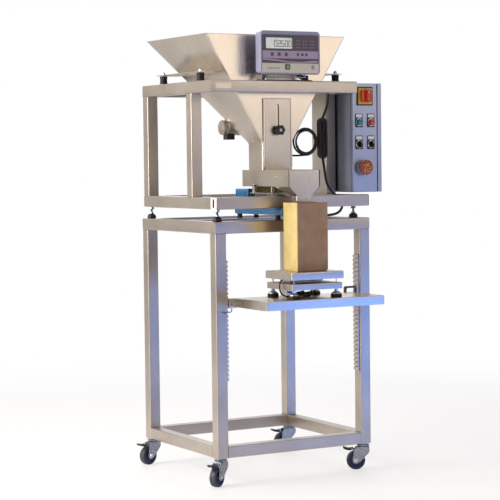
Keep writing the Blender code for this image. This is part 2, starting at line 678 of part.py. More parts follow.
# ---------------------------------------------------------------- feeder
def make_feeder():
    floor, top = TROUGH_Z
    (x0, x1), (y0, y1) = TROUGH_X, TROUGH_Y
    trough = box("feeder_trough", (x0, y0, floor), (x1, y1, top), SHEETMETAL)
    cut(trough,
        box("trough_inside", (x0 + SHEET, y0 - 0.01, floor + SHEET),
            (x1 - SHEET, y1 - SHEET, top + 0.01), None),
        box("trough_mouth", (x0 + SHEET, y0 - 0.01, floor - 0.01),
            (x1 - SHEET, 0, floor + SHEET + 0.001), None))

    taper = SPOUT_TIP_Z + 0.016
    rings = [(*SPOUT_X, *SPOUT_Y, top - 0.001), (*SPOUT_X, *SPOUT_Y, floor),
             (*SPOUT_TIP_X, *SPOUT_TIP_Y, taper), (*SPOUT_TIP_X, *SPOUT_TIP_Y, SPOUT_TIP_Z)]
    loft_shell("discharge_spout", rings, SHEETMETAL, 0.0015, skip=((0, 2),))

    make_drive(floor)


def make_drive(floor):
    low, high = STAND_TOP + 0.016, UPPER_BASE - 0.0015
    half = 0.045
    drive = box("drive_base", (MID_X - half, -0.028, low), (MID_X + half, 0.300, high), BLUE)
    join(drive, box("drive_mass", (MID_X - half + 0.001, 0.206, high - 0.004),
                    (MID_X + half - 0.001, 0.298, LEG_BASE + 0.889), None))
    for i, (side, y) in enumerate([(-1, 0.020), (1, 0.020), (-1, CROSS_Y + 0.020), (1, CROSS_Y + 0.020)]):
        join(drive, cylinder("drive_foot_%d" % i, 0.010, STAND_TOP + GAP, low + 0.002, "z",
                             (MID_X + side * 0.033, y), None, 16))

    plate_z = (floor - 0.026, floor - 0.021)
    carrier = box("trough_carrier", (MID_X - 0.040, 0.042, plate_z[0]),
                  (MID_X + 0.040, 0.196, plate_z[1]), STEEL)
    post_top = floor - GAP
    join(carrier,
         box("carrier_pad_front", (MID_X - 0.030, 0.050, plate_z[1] - 0.001),
             (MID_X + 0.030, 0.066, post_top), None),
         box("carrier_pad_back", (MID_X - 0.030, 0.170, plate_z[1] - 0.001),
             (MID_X + 0.030, 0.186, post_top), None))
    for name, y in (("front", 0.070), ("back", 0.182)):
        lean = math.radians(16)
        length = (plate_z[0] + 0.002 - high - 0.001) / math.cos(lean)
        leaf = box("leaf_" + name, (-0.030, -0.0015, -length / 2), (0.030, 0.0015, length / 2), None)
        leaf.rotation_euler = (-lean, 0, 0)
        leaf.location = (MID_X, y - length / 2 * math.sin(lean), (plate_z[0] + 0.002 + high + 0.001) / 2)
        join(carrier, leaf)

    for side, sign, edge in (("left", -1, TROUGH_X[0]), ("right", 1, TROUGH_X[1])):
        latch = outline("trough_latch_" + side, rounded((-0.009, 0), (0.009, 0.036), 0.006), 0.003, ZINC)
        latch.rotation_euler = (math.pi / 2, 0, math.pi / 2)
        latch.location = (edge + sign * 0.0050, 0.125, floor - 0.024)
        join(latch, cylinder("latch_pin_" + side, 0.0035, 0.113, 0.137, "y",
                             (edge + sign * 0.0050, floor - 0.019), None, 12))


# ---------------------------------------------------------------- weighing indicator
def make_indicator():
    bracket = box("indicator_bracket", (0.190, CAGE_FRONT + 0.004, UPPER_TOP + GAP),
                  (0.395, CAGE_FRONT + 0.036, UPPER_TOP + 0.003), STEEL)
    y, z = TILT_AXIS
    for side, x in (("left", 0.205), ("right", 0.374)):
        join(bracket, box("bracket_lug_" + side, (x, y - 0.007, UPPER_TOP + 0.001),
                          (x + 0.005, y + 0.007, z + 0.004),
                          None))
    join(bracket, cylinder("bracket_rod", 0.0025, 0.198, 0.386, "x", (y, z), None, 12))

    case = outline("indicator_case", rounded((CASE_X[0], CASE_Z[0]), (CASE_X[1], CASE_Z[1]), 0.013, 5),
                   CASE_Y[1] - CASE_Y[0], CASING)
    case.rotation_euler = (math.pi / 2, 0, 0)
    case.location = (0, (CASE_Y[0] + CASE_Y[1]) / 2, 0)
    for side, x in (("left", 0.215), ("right", 0.364)):
        join(case, box("case_ear_" + side, (x, y - 0.004, z + 0.0025 + GAP),
                       (x + 0.006, y + 0.004, CASE_Z[0] + 0.001),
                       None))
    key_x, key_z = 0.279, LEG_BASE + 1.2965
    cut(case, box("key_pocket", (key_x - 0.0100, CASE_Y[0] - 0.005, key_z - 0.0095),
                  (key_x + 0.0100, CASE_Y[0] + 0.004, key_z + 0.0095), None))
    box("indicator_key", (key_x - 0.0095, CASE_Y[0] - 0.0015, key_z - 0.0090),
        (key_x + 0.0095, CASE_Y[0] + 0.0020, key_z + 0.0090), GREEN)


# ---------------------------------------------------------------- control cabinet
def make_cabinet():
    (x0, x1), (y0, y1), (z0, z1) = CAB_X, CAB_Y, CAB_Z
    face = y0 + DOOR_T + 0.0005
    body = box("cabinet_body", (x0, face, z0), (x1, y1, z1), PANEL)
    cut(body,
        box("cabinet_room", (x0 + SHEET, y0, z0 + SHEET), (DOOR_X[1] - 0.004, y1 - SHEET, z1 - SHEET),
            None),
        box("cabinet_side", (DOOR_X[1] - 0.010, face + 0.012, z0 + SHEET),
            (x1 - SHEET, y1 - SHEET, z1 - SHEET),
            None))
    join(body, box("cabinet_edge", (HINGE_X + 0.0016, y0, z0), (x1 - 0.0002, face + 0.001, z1), None))

    front = y0
    door = box("cabinet_door", (DOOR_X[0], front, z0 + 0.002), (DOOR_X[1], front + DOOR_T, z1 - 0.002),
               PANEL)
    cut(door, box("door_fold", (DOOR_X[0] + SHEET, front + 0.0025, z0 + 0.002 + SHEET),
                  (DOOR_X[1] - SHEET, front + 0.05, z1 - 0.002 - SHEET), None))
    plate = (0.625, LEG_BASE + 1.204, 0.0325)
    join(door, box("switch_plate", (plate[0] - plate[2], front - 0.006, plate[1] - plate[2]),
                   (plate[0] + plate[2], front + 0.002, plate[1] + plate[2]), None))
    for row, z in (("push", LEG_BASE + 1.120), ("turn", LEG_BASE + 1.040)):
        for side, x in (("left", 0.6010), ("right", 0.6495)):
            join(door, box("legend_%s_%s" % (row, side), (x - 0.0150, front - 0.002, z - 0.0240),
                           (x + 0.0150, front + 0.002, z + 0.0240), None))

    knob = outline("main_switch_knob", rounded((-0.022, -0.022), (0.022, 0.022), 0.009, 4), 0.012, RED)
    knob.rotation_euler = (math.pi / 2, 0, 0)
    knob.location = (plate[0], front - 0.0125, plate[1])
    join(knob, box("switch_grip", (plate[0] - 0.009, front - 0.0300, plate[1] - 0.021),
                   (plate[0] + 0.009, front - 0.0180, plate[1] + 0.021), None))

    for name, x, mat in (("start_button", 0.6010, GREEN), ("stop_button", 0.6495, RED)):
        cap = turned(name, [(0, 0.0120), (0.0095, 0.0120), (0.0110, 0.0105), (0.0110, 0.0045),
                            (0, 0.0045)], mat, 20)
        cap.rotation_euler = (math.pi / 2, 0, 0)
        cap.location = (x, front - 0.002, LEG_BASE + 1.1135)

    for name, x in (("selector_left", 0.6010), ("selector_right", 0.6495)):
        z = LEG_BASE + 1.0375
        dial = cylinder(name, 0.0130, front - 0.0100, front - 0.002 - GAP, "y", (x, z), BLACK, 20)
        join(dial, box(name + "_grip", (x - 0.0040, front - 0.0200, z - 0.0120),
                       (x + 0.0040, front - 0.0090, z + 0.0120),
                       None))

    profile = [(0, 0.0300), (0.0150, 0.0285), (0.0245, 0.0235), (0.0265, 0.0180), (0.0240, 0.0140),
               (0.0150, 0.0130), (0.0150, 0.0060 + GAP), (0, 0.0060 + GAP)]
    stop = turned("emergency_stop", profile, ORANGE, 24)
    stop.rotation_euler = (math.pi / 2, 0, 0)
    stop.location = (0.6180, front, LEG_BASE + 0.957)


# ---------------------------------------------------------------- cables
def make_cables():
    hank_x, hank_y, hank_z = 0.497, 0.130, LEG_BASE + 1.060
    top = (0.4945, 0.085, UPPER_TOP - TUBE - 0.004)
    control = cable("control_cable",
                    [(0.345, CASE_Y[1] + 0.0018, CASE_Z[0] + 0.020),
                     (0.345, CASE_Y[1] + 0.010, CASE_Z[0] + 0.020),
                     (0.366, 0.0625, CASE_Z[0] + 0.006), (0.420, 0.0670, UPPER_TOP - 0.012),
                     (0.478, 0.0690, UPPER_TOP - 0.034), top,
                     (0.5030, 0.108, LEG_BASE + 1.170), (hank_x, hank_y, hank_z + 0.050),
                     (hank_x - 0.002, hank_y, hank_z), (hank_x, hank_y, hank_z - 0.050),
                     (0.4920, 0.112, LEG_BASE + 0.960), (0.4960, 0.095, LEG_BASE + 0.895),
                     (0.5180, 0.066, LEG_BASE + 0.852), (0.5270, 0.053, LEG_BASE + 0.825),
                     (0.5080, 0.049, LEG_BASE + 0.8030), (0.4700, 0.049, LEG_BASE + 0.7950),
                     (0.410, 0.054, LEG_BASE + 0.7950), (0.370, 0.062, LEG_BASE + 0.8065),
                     (0.350, 0.066, LEG_BASE + 0.8125), (MID_X + 0.045 + 2 * GAP, 0.066,
                                                         LEG_BASE + 0.8125)],
                    CABLE_R + 0.001, CORD, 3)
    side = [(-0.008, -0.072), (0.008, -0.072), (0.0165, -0.045), (0.0180, 0.0), (0.0165, 0.045),
            (0.008, 0.072),
            (-0.008, 0.072), (-0.0165, 0.045), (-0.0180, 0.0), (-0.0165, -0.045)]
    hank = outline("cable_hank_core", side, 0.024, None)
    hank.rotation_euler = (math.pi / 2, 0, 0)
    hank.location = (hank_x, hank_y, hank_z)
    join(control, hank)

    loop_x, loop_y, loop_z, loop_r = 0.428, 0.130, LEG_BASE + 1.048, 0.046
    turns = [(loop_x + loop_r * math.cos(math.radians(a)), loop_y,
              loop_z + loop_r * math.sin(math.radians(a)))
             for a in range(-95, 131, 25)]
    cable("vibrator_cable",
          [(0.2632, 0.267, LEG_BASE + 1.100), (0.274, 0.267, LEG_BASE + 1.100),
           (0.302, 0.258, LEG_BASE + 1.080),
           (0.345, 0.215, LEG_BASE + 1.022),
           (0.385, 0.160, LEG_BASE + 1.002)] + turns, CABLE_R, CORD, 3)

    deck = SHELF_TOP + CABLE_R + GAP
    cable("scale_cable",
          [(0.2170, -0.095, PAN_TOP - 0.022), (0.2080, -0.095, PAN_TOP - 0.0222),
           (0.184, -0.103, PAN_TOP - 0.034),
           (0.178, -0.110, PAN_TOP - 0.060), (0.194, -0.112, deck + 0.006), (0.236, -0.122, deck),
           (0.276, -0.122, deck),
           (0.304, -0.090, deck),
           (0.281, -0.060, deck), (0.236, -0.064, deck), (0.221, -0.095, deck),
           (0.256, -0.115, deck + 0.0055),
           (0.296, -0.100, deck + 0.012), (0.322, -0.080, deck + 0.018),
           (0.3235, -0.076, BASE_Z[1] - SHEET - 0.002)],
          0.0025, CORD, 4)


make_stand()
make_upper_frame()
make_end_plugs()
make_levelling_feet()
make_casters()
make_racks()
make_shelf()
make_scale()
make_bag()
make_hopper()
make_gate()
make_vibrator()
make_feeder()
make_indicator()
make_cabinet()
make_cables()
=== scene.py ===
import math

import bmesh
import bpy
from mathutils import Matrix, Vector


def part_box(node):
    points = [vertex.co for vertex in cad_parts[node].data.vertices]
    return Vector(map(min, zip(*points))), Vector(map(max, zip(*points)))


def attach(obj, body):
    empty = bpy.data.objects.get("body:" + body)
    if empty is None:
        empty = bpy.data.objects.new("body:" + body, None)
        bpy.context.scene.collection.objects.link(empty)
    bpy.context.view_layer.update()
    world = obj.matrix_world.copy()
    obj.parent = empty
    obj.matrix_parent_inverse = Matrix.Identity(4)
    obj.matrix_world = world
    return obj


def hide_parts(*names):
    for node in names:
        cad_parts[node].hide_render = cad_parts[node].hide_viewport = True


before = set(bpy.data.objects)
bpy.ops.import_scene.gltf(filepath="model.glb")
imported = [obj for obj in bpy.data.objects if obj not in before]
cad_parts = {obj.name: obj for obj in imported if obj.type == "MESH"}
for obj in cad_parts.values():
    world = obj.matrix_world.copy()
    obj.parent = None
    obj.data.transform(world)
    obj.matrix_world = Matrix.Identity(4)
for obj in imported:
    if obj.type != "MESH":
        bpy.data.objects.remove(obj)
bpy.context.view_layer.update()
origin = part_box("stand_legs")[0]  # front left corner of the stand, at the underside of its legs
print("frame loaded:", len(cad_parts), "nodes")


def span(node):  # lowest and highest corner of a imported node, measured from the stand's corner
    low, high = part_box(node)
    return low - origin, high - origin


def toLinear(hexCode):
    channels = [int(hexCode[i:i + 2], 16) / 255 for i in (1, 3, 5)]
    return [c / 12.92 if c <= 0.04045 else ((c + 0.055) / 1.055) ** 2.4 for c in channels] + [1.0]


# shader helpers
def addNode(tree, kind, values=None, links=None, **settings):
    made = tree.nodes.new(kind)
    for key, value in settings.items():
        setattr(made, key, value)
    for socket, value in (values or {}).items():
        made.inputs[socket].default_value = value
    for socket, (source, output) in (links or {}).items():
        tree.links.new(source.outputs[output], made.inputs[socket])
    return made


def newFinish(name, colour, metallic, roughness, more=None):
    finish = bpy.data.materials.new(name)
    finish.use_nodes = True
    shader = finish.node_tree.nodes["Principled BSDF"]
    shader.inputs["Base Color"].default_value = toLinear(colour)
    shader.inputs["Metallic"].default_value = metallic
    shader.inputs["Roughness"].default_value = roughness
    for socket, value in (more or {}).items():
        shader.inputs[socket].default_value = value
    return finish, finish.node_tree, shader


def addNoise(tree, source, output, scale, detail, **more):
    return addNode(tree, "ShaderNodeTexNoise", values={"Scale": scale, "Detail": detail, **more},
                   links={"Vector": (source, output)})


def mottle(tree, shader, pattern, output, colours, roughness, bumpMm, strength):
    # one pattern drives the colour, the roughness and a shallow bump together
    ramp = addNode(tree, "ShaderNodeValToRGB", links={"Fac": (pattern, output)})
    ramp.color_ramp.elements[0].color = toLinear(colours[0])
    ramp.color_ramp.elements[1].color = toLinear(colours[1])
    ramp.color_ramp.elements[0].position = 0.30
    ramp.color_ramp.elements[1].position = 0.70
    rough = addNode(tree, "ShaderNodeMapRange", values={"To Min": roughness[0], "To Max": roughness[1]},
                    links={"Value": (pattern, output)})
    bump = addNode(tree, "ShaderNodeBump", values={"Strength": strength, "Distance": bumpMm / 1000},
                   links={"Height": (pattern, output)})
    tree.links.new(ramp.outputs["Color"], shader.inputs["Base Color"])
    tree.links.new(rough.outputs["Result"], shader.inputs["Roughness"])
    tree.links.new(bump.outputs["Normal"], shader.inputs["Normal"])


def groundSteel(name, colours, roughness, lineMm, runMm, space="UV", along=0):
    # stainless, belt ground: lines along the grain, drawn coarser than grit 240 so that they show,
    # and faint cloudy patches where hands and the belt have been
    finish, tree, shader = newFinish(name, colours[1], 1.0, roughness[0])
    coords = addNode(tree, "ShaderNodeTexCoord")
    scale = [1000 / lineMm] * 3
    scale[along] = 1000 / runMm
    stretch = addNode(tree, "ShaderNodeMapping", values={"Scale": scale},
                      links={"Vector": (coords, space)})
    lines = addNoise(tree, stretch, "Vector", 1.0, 4.0, Roughness=0.65)
    clouds = addNoise(tree, coords, "Object", 7.0, 3.0, Roughness=0.5)
    both = addNode(tree, "ShaderNodeMix", values={0: 0.45},
                   links={2: (lines, "Fac"), 3: (clouds, "Fac")})
    mottle(tree, shader, both, 0, colours, roughness, 0.05, 0.25)
    return finish


def mouldedPlastic(name, colours, roughness, grainMm, more=None):
    # moulded thermoplastic: a fine spark-eroded grain, barely uneven in colour
    finish, tree, shader = newFinish(name, colours[1], 0.0, roughness[0], {"IOR": 1.49, **(more or {})})
    coords = addNode(tree, "ShaderNodeTexCoord")
    grain = addNoise(tree, coords, "Object", 1000 / grainMm, 3.0)
    mottle(tree, shader, grain, "Fac", colours, roughness, 0.06, 0.3)
    return finish


def castEnamel(name, colours, roughness):
    # sprayed enamel over a casting: gloss with orange peel about 3 mm across
    finish, tree, shader = newFinish(name, colours[1], 0.0, roughness[0],
                                     {"IOR": 1.5, "Coat Weight": 0.35, "Coat Roughness": 0.12})
    coords = addNode(tree, "ShaderNodeTexCoord")
    peel = addNoise(tree, coords, "Object", 330.0, 2.0)
    mottle(tree, shader, peel, "Fac", colours, roughness, 0.12, 0.4)
    return finish


def platedSteel(name, colours, roughness, patchMm):
    # zinc or chrome plate: bright metal with a slightly cloudy, spangled sheen
    finish, tree, shader = newFinish(name, colours[1], 1.0, roughness[0])
    coords = addNode(tree, "ShaderNodeTexCoord")
    spangle = addNode(tree, "ShaderNodeTexVoronoi", values={"Scale": 1000 / patchMm, "Randomness": 1.0},
                      links={"Vector": (coords, "Object")}, feature="SMOOTH_F1")
    mottle(tree, shader, spangle, "Distance", colours, roughness, 0.03, 0.2)
    return finish


def weldTint(name):
    # a fillet left as welded: rippled, with straw and blue heat colours
    finish, tree, shader = newFinish(name, "#8f8478", 1.0, 0.42)
    coords = addNode(tree, "ShaderNodeTexCoord")
    heat = addNoise(tree, coords, "Object", 120.0, 2.0)
    mottle(tree, shader, heat, "Fac", ("#6f6a78", "#b09a7c"), (0.34, 0.5), 0.2, 0.5)
    return finish


def kraftPaper(name, colours):
    # unbleached kraft: matt, with short fibres along the web and a faint ribbing across it
    finish, tree, shader = newFinish(name, colours[1], 0.0, 0.88, {"IOR": 1.45, "Sheen Weight": 0.15})
    coords = addNode(tree, "ShaderNodeTexCoord")
    along = addNode(tree, "ShaderNodeMapping", values={"Scale": (900.0, 900.0, 90.0)},
                    links={"Vector": (coords, "Object")})
    fibres = addNoise(tree, along, "Vector", 1.0, 5.0, Roughness=0.7)
    folds = addNoise(tree, coords, "Object", 22.0, 2.0)
    both = addNode(tree, "ShaderNodeMix", values={0: 0.5}, links={2: (fibres, "Fac"), 3: (folds, "Fac")})
    mottle(tree, shader, both, 0, colours, (0.80, 0.95), 0.5, 0.55)
    return finish


def cableJacket(name, colours):
    # PVC cable jacket: satin, with soft rubbing marks
    finish, tree, shader = newFinish(name, colours[1], 0.0, 0.45, {"IOR": 1.52})
    coords = addNode(tree, "ShaderNodeTexCoord")
    rub = addNoise(tree, coords, "Object", 180.0, 3.0)
    mottle(tree, shader, rub, "Fac", colours, (0.36, 0.55), 0.1, 0.3)
    return finish


finishes = {
    "tube": groundSteel("groundStainlessTube", ("#a59d96", "#c6bfb6"), (0.30, 0.42), 1.2, 60),
    "sheet": groundSteel("brushedStainlessSheet", ("#b3aba2", "#d2cbc2"), (0.26, 0.38), 1.0, 90),
    "bright": groundSteel("brightStainlessSheet", ("#c4bcb2", "#dfd8cd"), (0.22, 0.32), 1.0, 90),
    "rack": groundSteel("groundStainlessRack", ("#b3aca5", "#d8d1c8"), (0.30, 0.42), 1.2, 40, "Object",
                        2),
    # the cabinet's satin stainless is tinted blue-violet: a painted blue reflection of the surroundings
    "cabinet": groundSteel("satinStainlessCabinetPaintedBlueReflection", ("#949db4", "#adb5c9"), (0.34, 0.44), 1.2, 80),
    "bronzed": groundSteel("darkBurnishedSteel", ("#4d4340", "#6b5e58"), (0.34, 0.46), 1.0, 30),
    "weld": weldTint("heatTintedWeld"),
    "zinc": platedSteel("brightZincPlate", ("#8b93a3", "#b4bac6"), (0.24, 0.36), 4),
    "chrome": platedSteel("chromePlate", ("#c9ccd2", "#e6e8ec"), (0.08, 0.16), 9),
    "olive": platedSteel("yellowZincPlate", ("#5f5938", "#8b8156"), (0.25, 0.38), 5),
    "aluminium": platedSteel("milledAluminium", ("#b9bcc2", "#d4d6da"), (0.28, 0.4), 3),
    "black": mouldedPlastic("blackPolyamide", ("#121214", "#1d1d20"), (0.38, 0.5), 0.7),
    "gloss": mouldedPlastic("blackGlossAbs", ("#0d0d10", "#151519"), (0.16, 0.24), 1.5),
    "rubber": mouldedPlastic("blackNaturalRubber", ("#0f0f11", "#1c1b1d"), (0.62, 0.78), 0.9),
    "white": mouldedPlastic("whitePolyethylene", ("#e6e2e0", "#f4f1ef"), (0.34, 0.46), 1.1),
    "tread": mouldedPlastic("greyPolyurethaneTread", ("#262b3a", "#3a4152"), (0.42, 0.56), 1.4),
    "hub": mouldedPlastic("navyPolyamideHub", ("#1a2344", "#2a3766"), (0.34, 0.46), 1.0),
    "blue": castEnamel("blueCastEnamel", ("#14507f", "#2a6ea5"), (0.28, 0.4)),
    "yellow": mouldedPlastic("yellowSwitchPlate", ("#c9a128", "#e2bf44"), (0.24, 0.34), 1.2),
    "red": mouldedPlastic("redSwitchKnob", ("#b5290f", "#cf3d18"), (0.2, 0.3), 1.2,
                          {"Coat Weight": 0.2}),
    "stopRed": mouldedPlastic("redButtonCap", ("#b7242c", "#d5363a"), (0.2, 0.3), 1.2,
                              {"Coat Weight": 0.2}),
    "teal": mouldedPlastic("tealButtonCap", ("#0b5d78", "#16789a"), (0.2, 0.3), 1.2,
                           {"Coat Weight": 0.2}),
    "amber": mouldedPlastic("amberMushroomCap", ("#7c2c10", "#a84a1a"), (0.12, 0.2), 3.0,
                            {"Coat Weight": 0.5}),
    # paler amber for the mushroom cap's raised curves: painted highlight
    "amberPaintedHighlight": mouldedPlastic("amberCapCurvesPaintedHighlight", ("#b9722c", "#dc9c4c"), (0.16, 0.24), 2.0,
                                 {"Coat Weight": 0.4}),
    "label": mouldedPlastic("whiteLegendInsert", ("#dcdce2", "#f2f2f5"), (0.3, 0.4), 1.4),
    "green": mouldedPlastic("greenKeyCap", ("#0b4632", "#156048"), (0.3, 0.42), 1.2),
    "casing": mouldedPlastic("silverLilacAbs", ("#8083a2", "#989bb6"), (0.3, 0.42), 1.2),
    "cream": mouldedPlastic("creamAbs", ("#c9c2af", "#dbd5c4"), (0.32, 0.44), 1.3),
    "plum": mouldedPlastic("plumOverlayFilm", ("#3b2c40", "#4b3a50"), (0.24, 0.34), 0.8),
    "lilac": mouldedPlastic("lilacOverlayFilm", ("#9786a2", "#aa9bb4"), (0.24, 0.34), 0.8),
    # the bag's paper in two copies: a darker front copy (painted shade) and a paler, yellower side copy
    # (painted light from the left lamp)
    "kraft": kraftPaper("unbleachedKraft", ("#917359", "#b3947a")),
    "kraftPaintedLitSide": kraftPaper("unbleachedKraftPaintedLitSide", ("#b39f62", "#d8c488")),
    "cable": cableJacket("blackPvcJacket", ("#0c0c0e", "#18181b")),
}
glassLook, glassTree, glassShader = newFinish("paleLcdGlass", "#c9d6d3", 0.0, 0.12,
                                              {"IOR": 1.52, "Coat Weight": 0.6})
lcdCoords = addNode(glassTree, "ShaderNodeTexCoord")
lcdCells = addNoise(glassTree, lcdCoords, "Object", 60.0, 1.0)
mottle(glassTree, glassShader, lcdCells, "Fac", ("#d2e0de", "#ecf5f3"), (0.10, 0.18), 0.02, 0.1)
finishes["lcd"] = glassLook
print("finishes made:", len(finishes))


# mesh helpers: everything is modelled from the stand's corner and moved to the frame at the end
def newMesh():
    bm = bmesh.new()
    bm.loops.layers.uv.new("grain")
    return bm


def dress(bm, before, slot, along):  # material slot, and a UV map in metres that runs with the grain
    layer = bm.loops.layers.uv.verify()
    for face in bm.faces:
        if face in before:
            continue
        face.material_index = slot
        face.normal_update()
        grain = Vector(along)
        if face.normal.cross(grain).length < 0.3:
            grain = face.normal.orthogonal()
        across = face.normal.cross(grain).normalized()
        for loop in face.loops:
            loop[layer].uv = (loop.vert.co.dot(grain), loop.vert.co.dot(across))


def roundOff(bm, before, edge, segments, sharp=0.5):
    edges = [e for e in bm.edges if len(e.link_faces) == 2 and e.calc_face_angle(0) > sharp
             and not (e.link_faces[0] in before or e.link_faces[1] in before)]
    if edge and edges:
        bmesh.ops.bevel(bm, geom=edges, offset=edge, segments=segments, profile=0.5, affect="EDGES",
                        clamp_overlap=True)


def addBlock(bm, low, high, edge=0.0008, segments=2, slot=0, along=(1, 0, 0), place=None):
    before = set(bm.faces)
    low, high = Vector(low), Vector(high)
    shape = Matrix.Translation((low + high) / 2) @ Matrix.Diagonal((*(high - low), 1))
    bmesh.ops.create_cube(bm, size=1, matrix=(place or Matrix()) @ shape)
    roundOff(bm, before, edge, segments)
    dress(bm, before, slot, along)


def addTurned(bm, profile, place, steps=32, slot=0, along=(0, 0, 1)):
    before, points = set(bm.faces), set(bm.verts)
    verts = [bm.verts.new(place @ Vector((r, 0, z))) for r, z in profile]
    edges = [bm.edges.new(pair) for pair in zip(verts, verts[1:])]
    axis = (place.to_3x3() @ Vector((0, 0, 1))).normalized()
    bmesh.ops.spin(bm, geom=verts + edges, cent=place.translation, axis=axis, angle=math.tau,
                   steps=steps,
                   use_merge=True)
    bmesh.ops.remove_doubles(bm, verts=[v for v in bm.verts if v not in points], dist=0.000002)
    dress(bm, before, slot, along)


def addOutline(bm, points, thickness, place, edge=0.0006, segments=2, slot=0, along=(1, 0, 0), holes=()):
    before = set(bm.faces)
    rings = []
    for ring in (points, *holes):
        verts = [bm.verts.new(place @ Vector((x, y, -thickness / 2))) for x, y in ring]
        rings.append([bm.edges.new((a, b)) for a, b in zip(verts, verts[1:] + verts[:1])])
        if ring is points:
            outer = verts
    if holes:
        sheet = [g for g in bmesh.ops.triangle_fill(bm, edges=sum(rings, []), use_beauty=True)["geom"]
                 if isinstance(g, bmesh.types.BMFace)]
    else:
        sheet = [bm.faces.new(outer)]
    far = bmesh.ops.extrude_face_region(bm, geom=sheet, use_keep_orig=True)["geom"]
    bmesh.ops.translate(bm, verts=[g for g in far if isinstance(g, bmesh.types.BMVert)],
                        vec=place.to_3x3() @ Vector((0, 0, thickness)))
    roundOff(bm, before, edge, segments)
    dress(bm, before, slot, along)


def addWire(bm, route, radius, sides=10, slot=0, closed=False):
    before = set(bm.faces)
    route = [Vector(p) for p in route]
    if callable(radius):
        widths = [radius(i / (len(route) - 1)) for i in range(len(route))]
    else:
        widths = [radius] * len(route)
    normal, rings = None, []
    for i, spot in enumerate(route):
        ahead = route[(i + 1) % len(route)] if closed or i + 1 < len(route) else spot
        behind = route[i - 1] if closed or i else spot
        tangent = (ahead - behind).normalized()
        normal = tangent.orthogonal().normalized() if normal is None else normal
        normal = (normal - tangent * normal.dot(tangent)).normalized()
        side = tangent.cross(normal)
        rings.append([bm.verts.new(spot + (normal * math.cos(a) + side * math.sin(a)) * widths[i])
                      for a in (math.tau * k / sides for k in range(sides))])
    pairs = list(zip(rings, rings[1:])) + ([(rings[-1], rings[0])] if closed else [])
    for a, b in pairs:
        for k in range(sides):
            bm.faces.new((a[k], a[(k + 1) % sides], b[(k + 1) % sides], b[k]))
    if not closed:
        bm.faces.new(rings[0][::-1])
        bm.faces.new(rings[-1])
    dress(bm, before, slot, (0, 0, 1))


def smoothRoute(points, steps):  # a Catmull-Rom curve through the points
    spots = [Vector(p) for p in points]
    spots = [2 * spots[0] - spots[1]] + spots + [2 * spots[-1] - spots[-2]]
    route = []
    for a, b, c, d in zip(spots, spots[1:], spots[2:], spots[3:]):
        for t in (step / steps for step in range(steps)):
            route.append(0.5 * (2 * b + (c - a) * t + (2 * a - 5 * b + 4 * c - d) * t * t
                                + (3 * b - a - 3 * c + d) * t ** 3))
    return route + [spots[-2]]


def arc(x, y, radius, start, end, count):
    angles = [math.radians(start + (end - start) * i / (count - 1)) for i in range(count)]
    return [(x + radius * math.cos(a), y + radius * math.sin(a)) for a in angles]


def roundedRect(x0, y0, x1, y1, radius, count=5):
    corners = ((x1 - radius, y0 + radius, -90), (x1 - radius, y1 - radius, 0),
               (x0 + radius, y1 - radius, 90), (x0 + radius, y0 + radius, 180))
    return [p for x, y, start in corners for p in arc(x, y, radius, start, start + 90, count)]


def facing(x, y, z, direction):  # a frame whose Z looks along the direction and whose Y stays up
    ahead = Vector(direction).normalized()
    up = Vector((0, 0, 1)) if abs(ahead.z) < 0.9 else Vector((0, 1, 0))
    right = up.cross(ahead).normalized()
    up = ahead.cross(right)
    turn = Matrix((right, up, ahead)).transposed()
    return Matrix.Translation((x, y, z)) @ turn.to_4x4()


def addHexBolt(bm, place, across=0.010, height=0.004, slot=0, washer=True):
    radius = across / math.sqrt(3)
    rim = radius * 0.90
    if washer:
        addTurned(bm, [(0, 0.0012), (radius * 1.25, 0.0012), (radius * 1.32, 0.0006),
                       (radius * 1.32, 0), (0, 0)],
                  place, 24, slot)
    addTurned(bm, [(0, height + 0.001), (rim, height + 0.001), (radius, height), (radius, 0.001),
                   (0, 0.001)],
              place, 6, slot)


def addScrew(bm, place, radius=0.003, slot=0):  # a pan head with a dimple for its driver
    addTurned(bm, [(0, radius * 0.25), (radius * 0.3, radius * 0.25), (radius * 0.36, radius * 0.62),
                   (radius * 0.75, radius * 0.5), (radius, radius * 0.15), (radius, 0), (0, 0)], place,
                   20, slot)


def finishPiece(name, bm, body, wanted, stands=(), angle=32):
    bmesh.ops.recalc_face_normals(bm, faces=bm.faces)
    bm.transform(Matrix.Translation(origin))
    mesh = bpy.data.meshes.new(name)
    bm.to_mesh(mesh)
    bm.free()
    for key in wanted:
        mesh.materials.append(finishes[key])
    mesh.shade_smooth()
    mesh.set_sharp_from_angle(angle=math.radians(angle))
    piece = bpy.data.objects.new(name, mesh)
    bpy.context.scene.collection.objects.link(piece)
    flatten = piece.modifiers.new("flatFaces", "WEIGHTED_NORMAL")
    flatten.weight, flatten.keep_sharp = 100, True
    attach(piece, body)
    if stands:
        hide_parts(*stands)
    return piece


# square tube frames
tubeFrame = {"corner": 0.0032, "bead": 0.0017}


def addTube(bm, low, high, along, cuts=()):  # a square tube; cuts are (point, outward normal) mitres
    loose = newMesh()
    low, high = Vector(low), Vector(high)
    bmesh.ops.create_cube(loose, size=1, matrix=Matrix.Translation((low + high) / 2)
                          @ Matrix.Diagonal((*(high - low), 1)))
    axis = Vector(along)
    long = [e for e in loose.edges if abs((e.verts[0].co - e.verts[1].co).normalized().dot(axis)) > 0.9]
    bmesh.ops.bevel(loose, geom=long, offset=tubeFrame["corner"], segments=4, profile=0.5,
                    affect="EDGES")
    for point, normal in cuts:
        cut = bmesh.ops.bisect_plane(loose, geom=loose.verts[:] + loose.edges[:] + loose.faces[:],
                                     plane_co=point, plane_no=normal, clear_outer=True)["geom_cut"]
        bmesh.ops.edgeloop_fill(loose, edges=[g for g in cut if isinstance(g, bmesh.types.BMEdge)])
    dress(loose, set(), 0, along)
    pour(loose, bm)


def pour(source, target):  # moves one mesh into another, UV map included
    holder = bpy.data.meshes.new("holder")
    source.to_mesh(holder)
    source.free()
    target.from_mesh(holder)
    bpy.data.meshes.remove(holder)


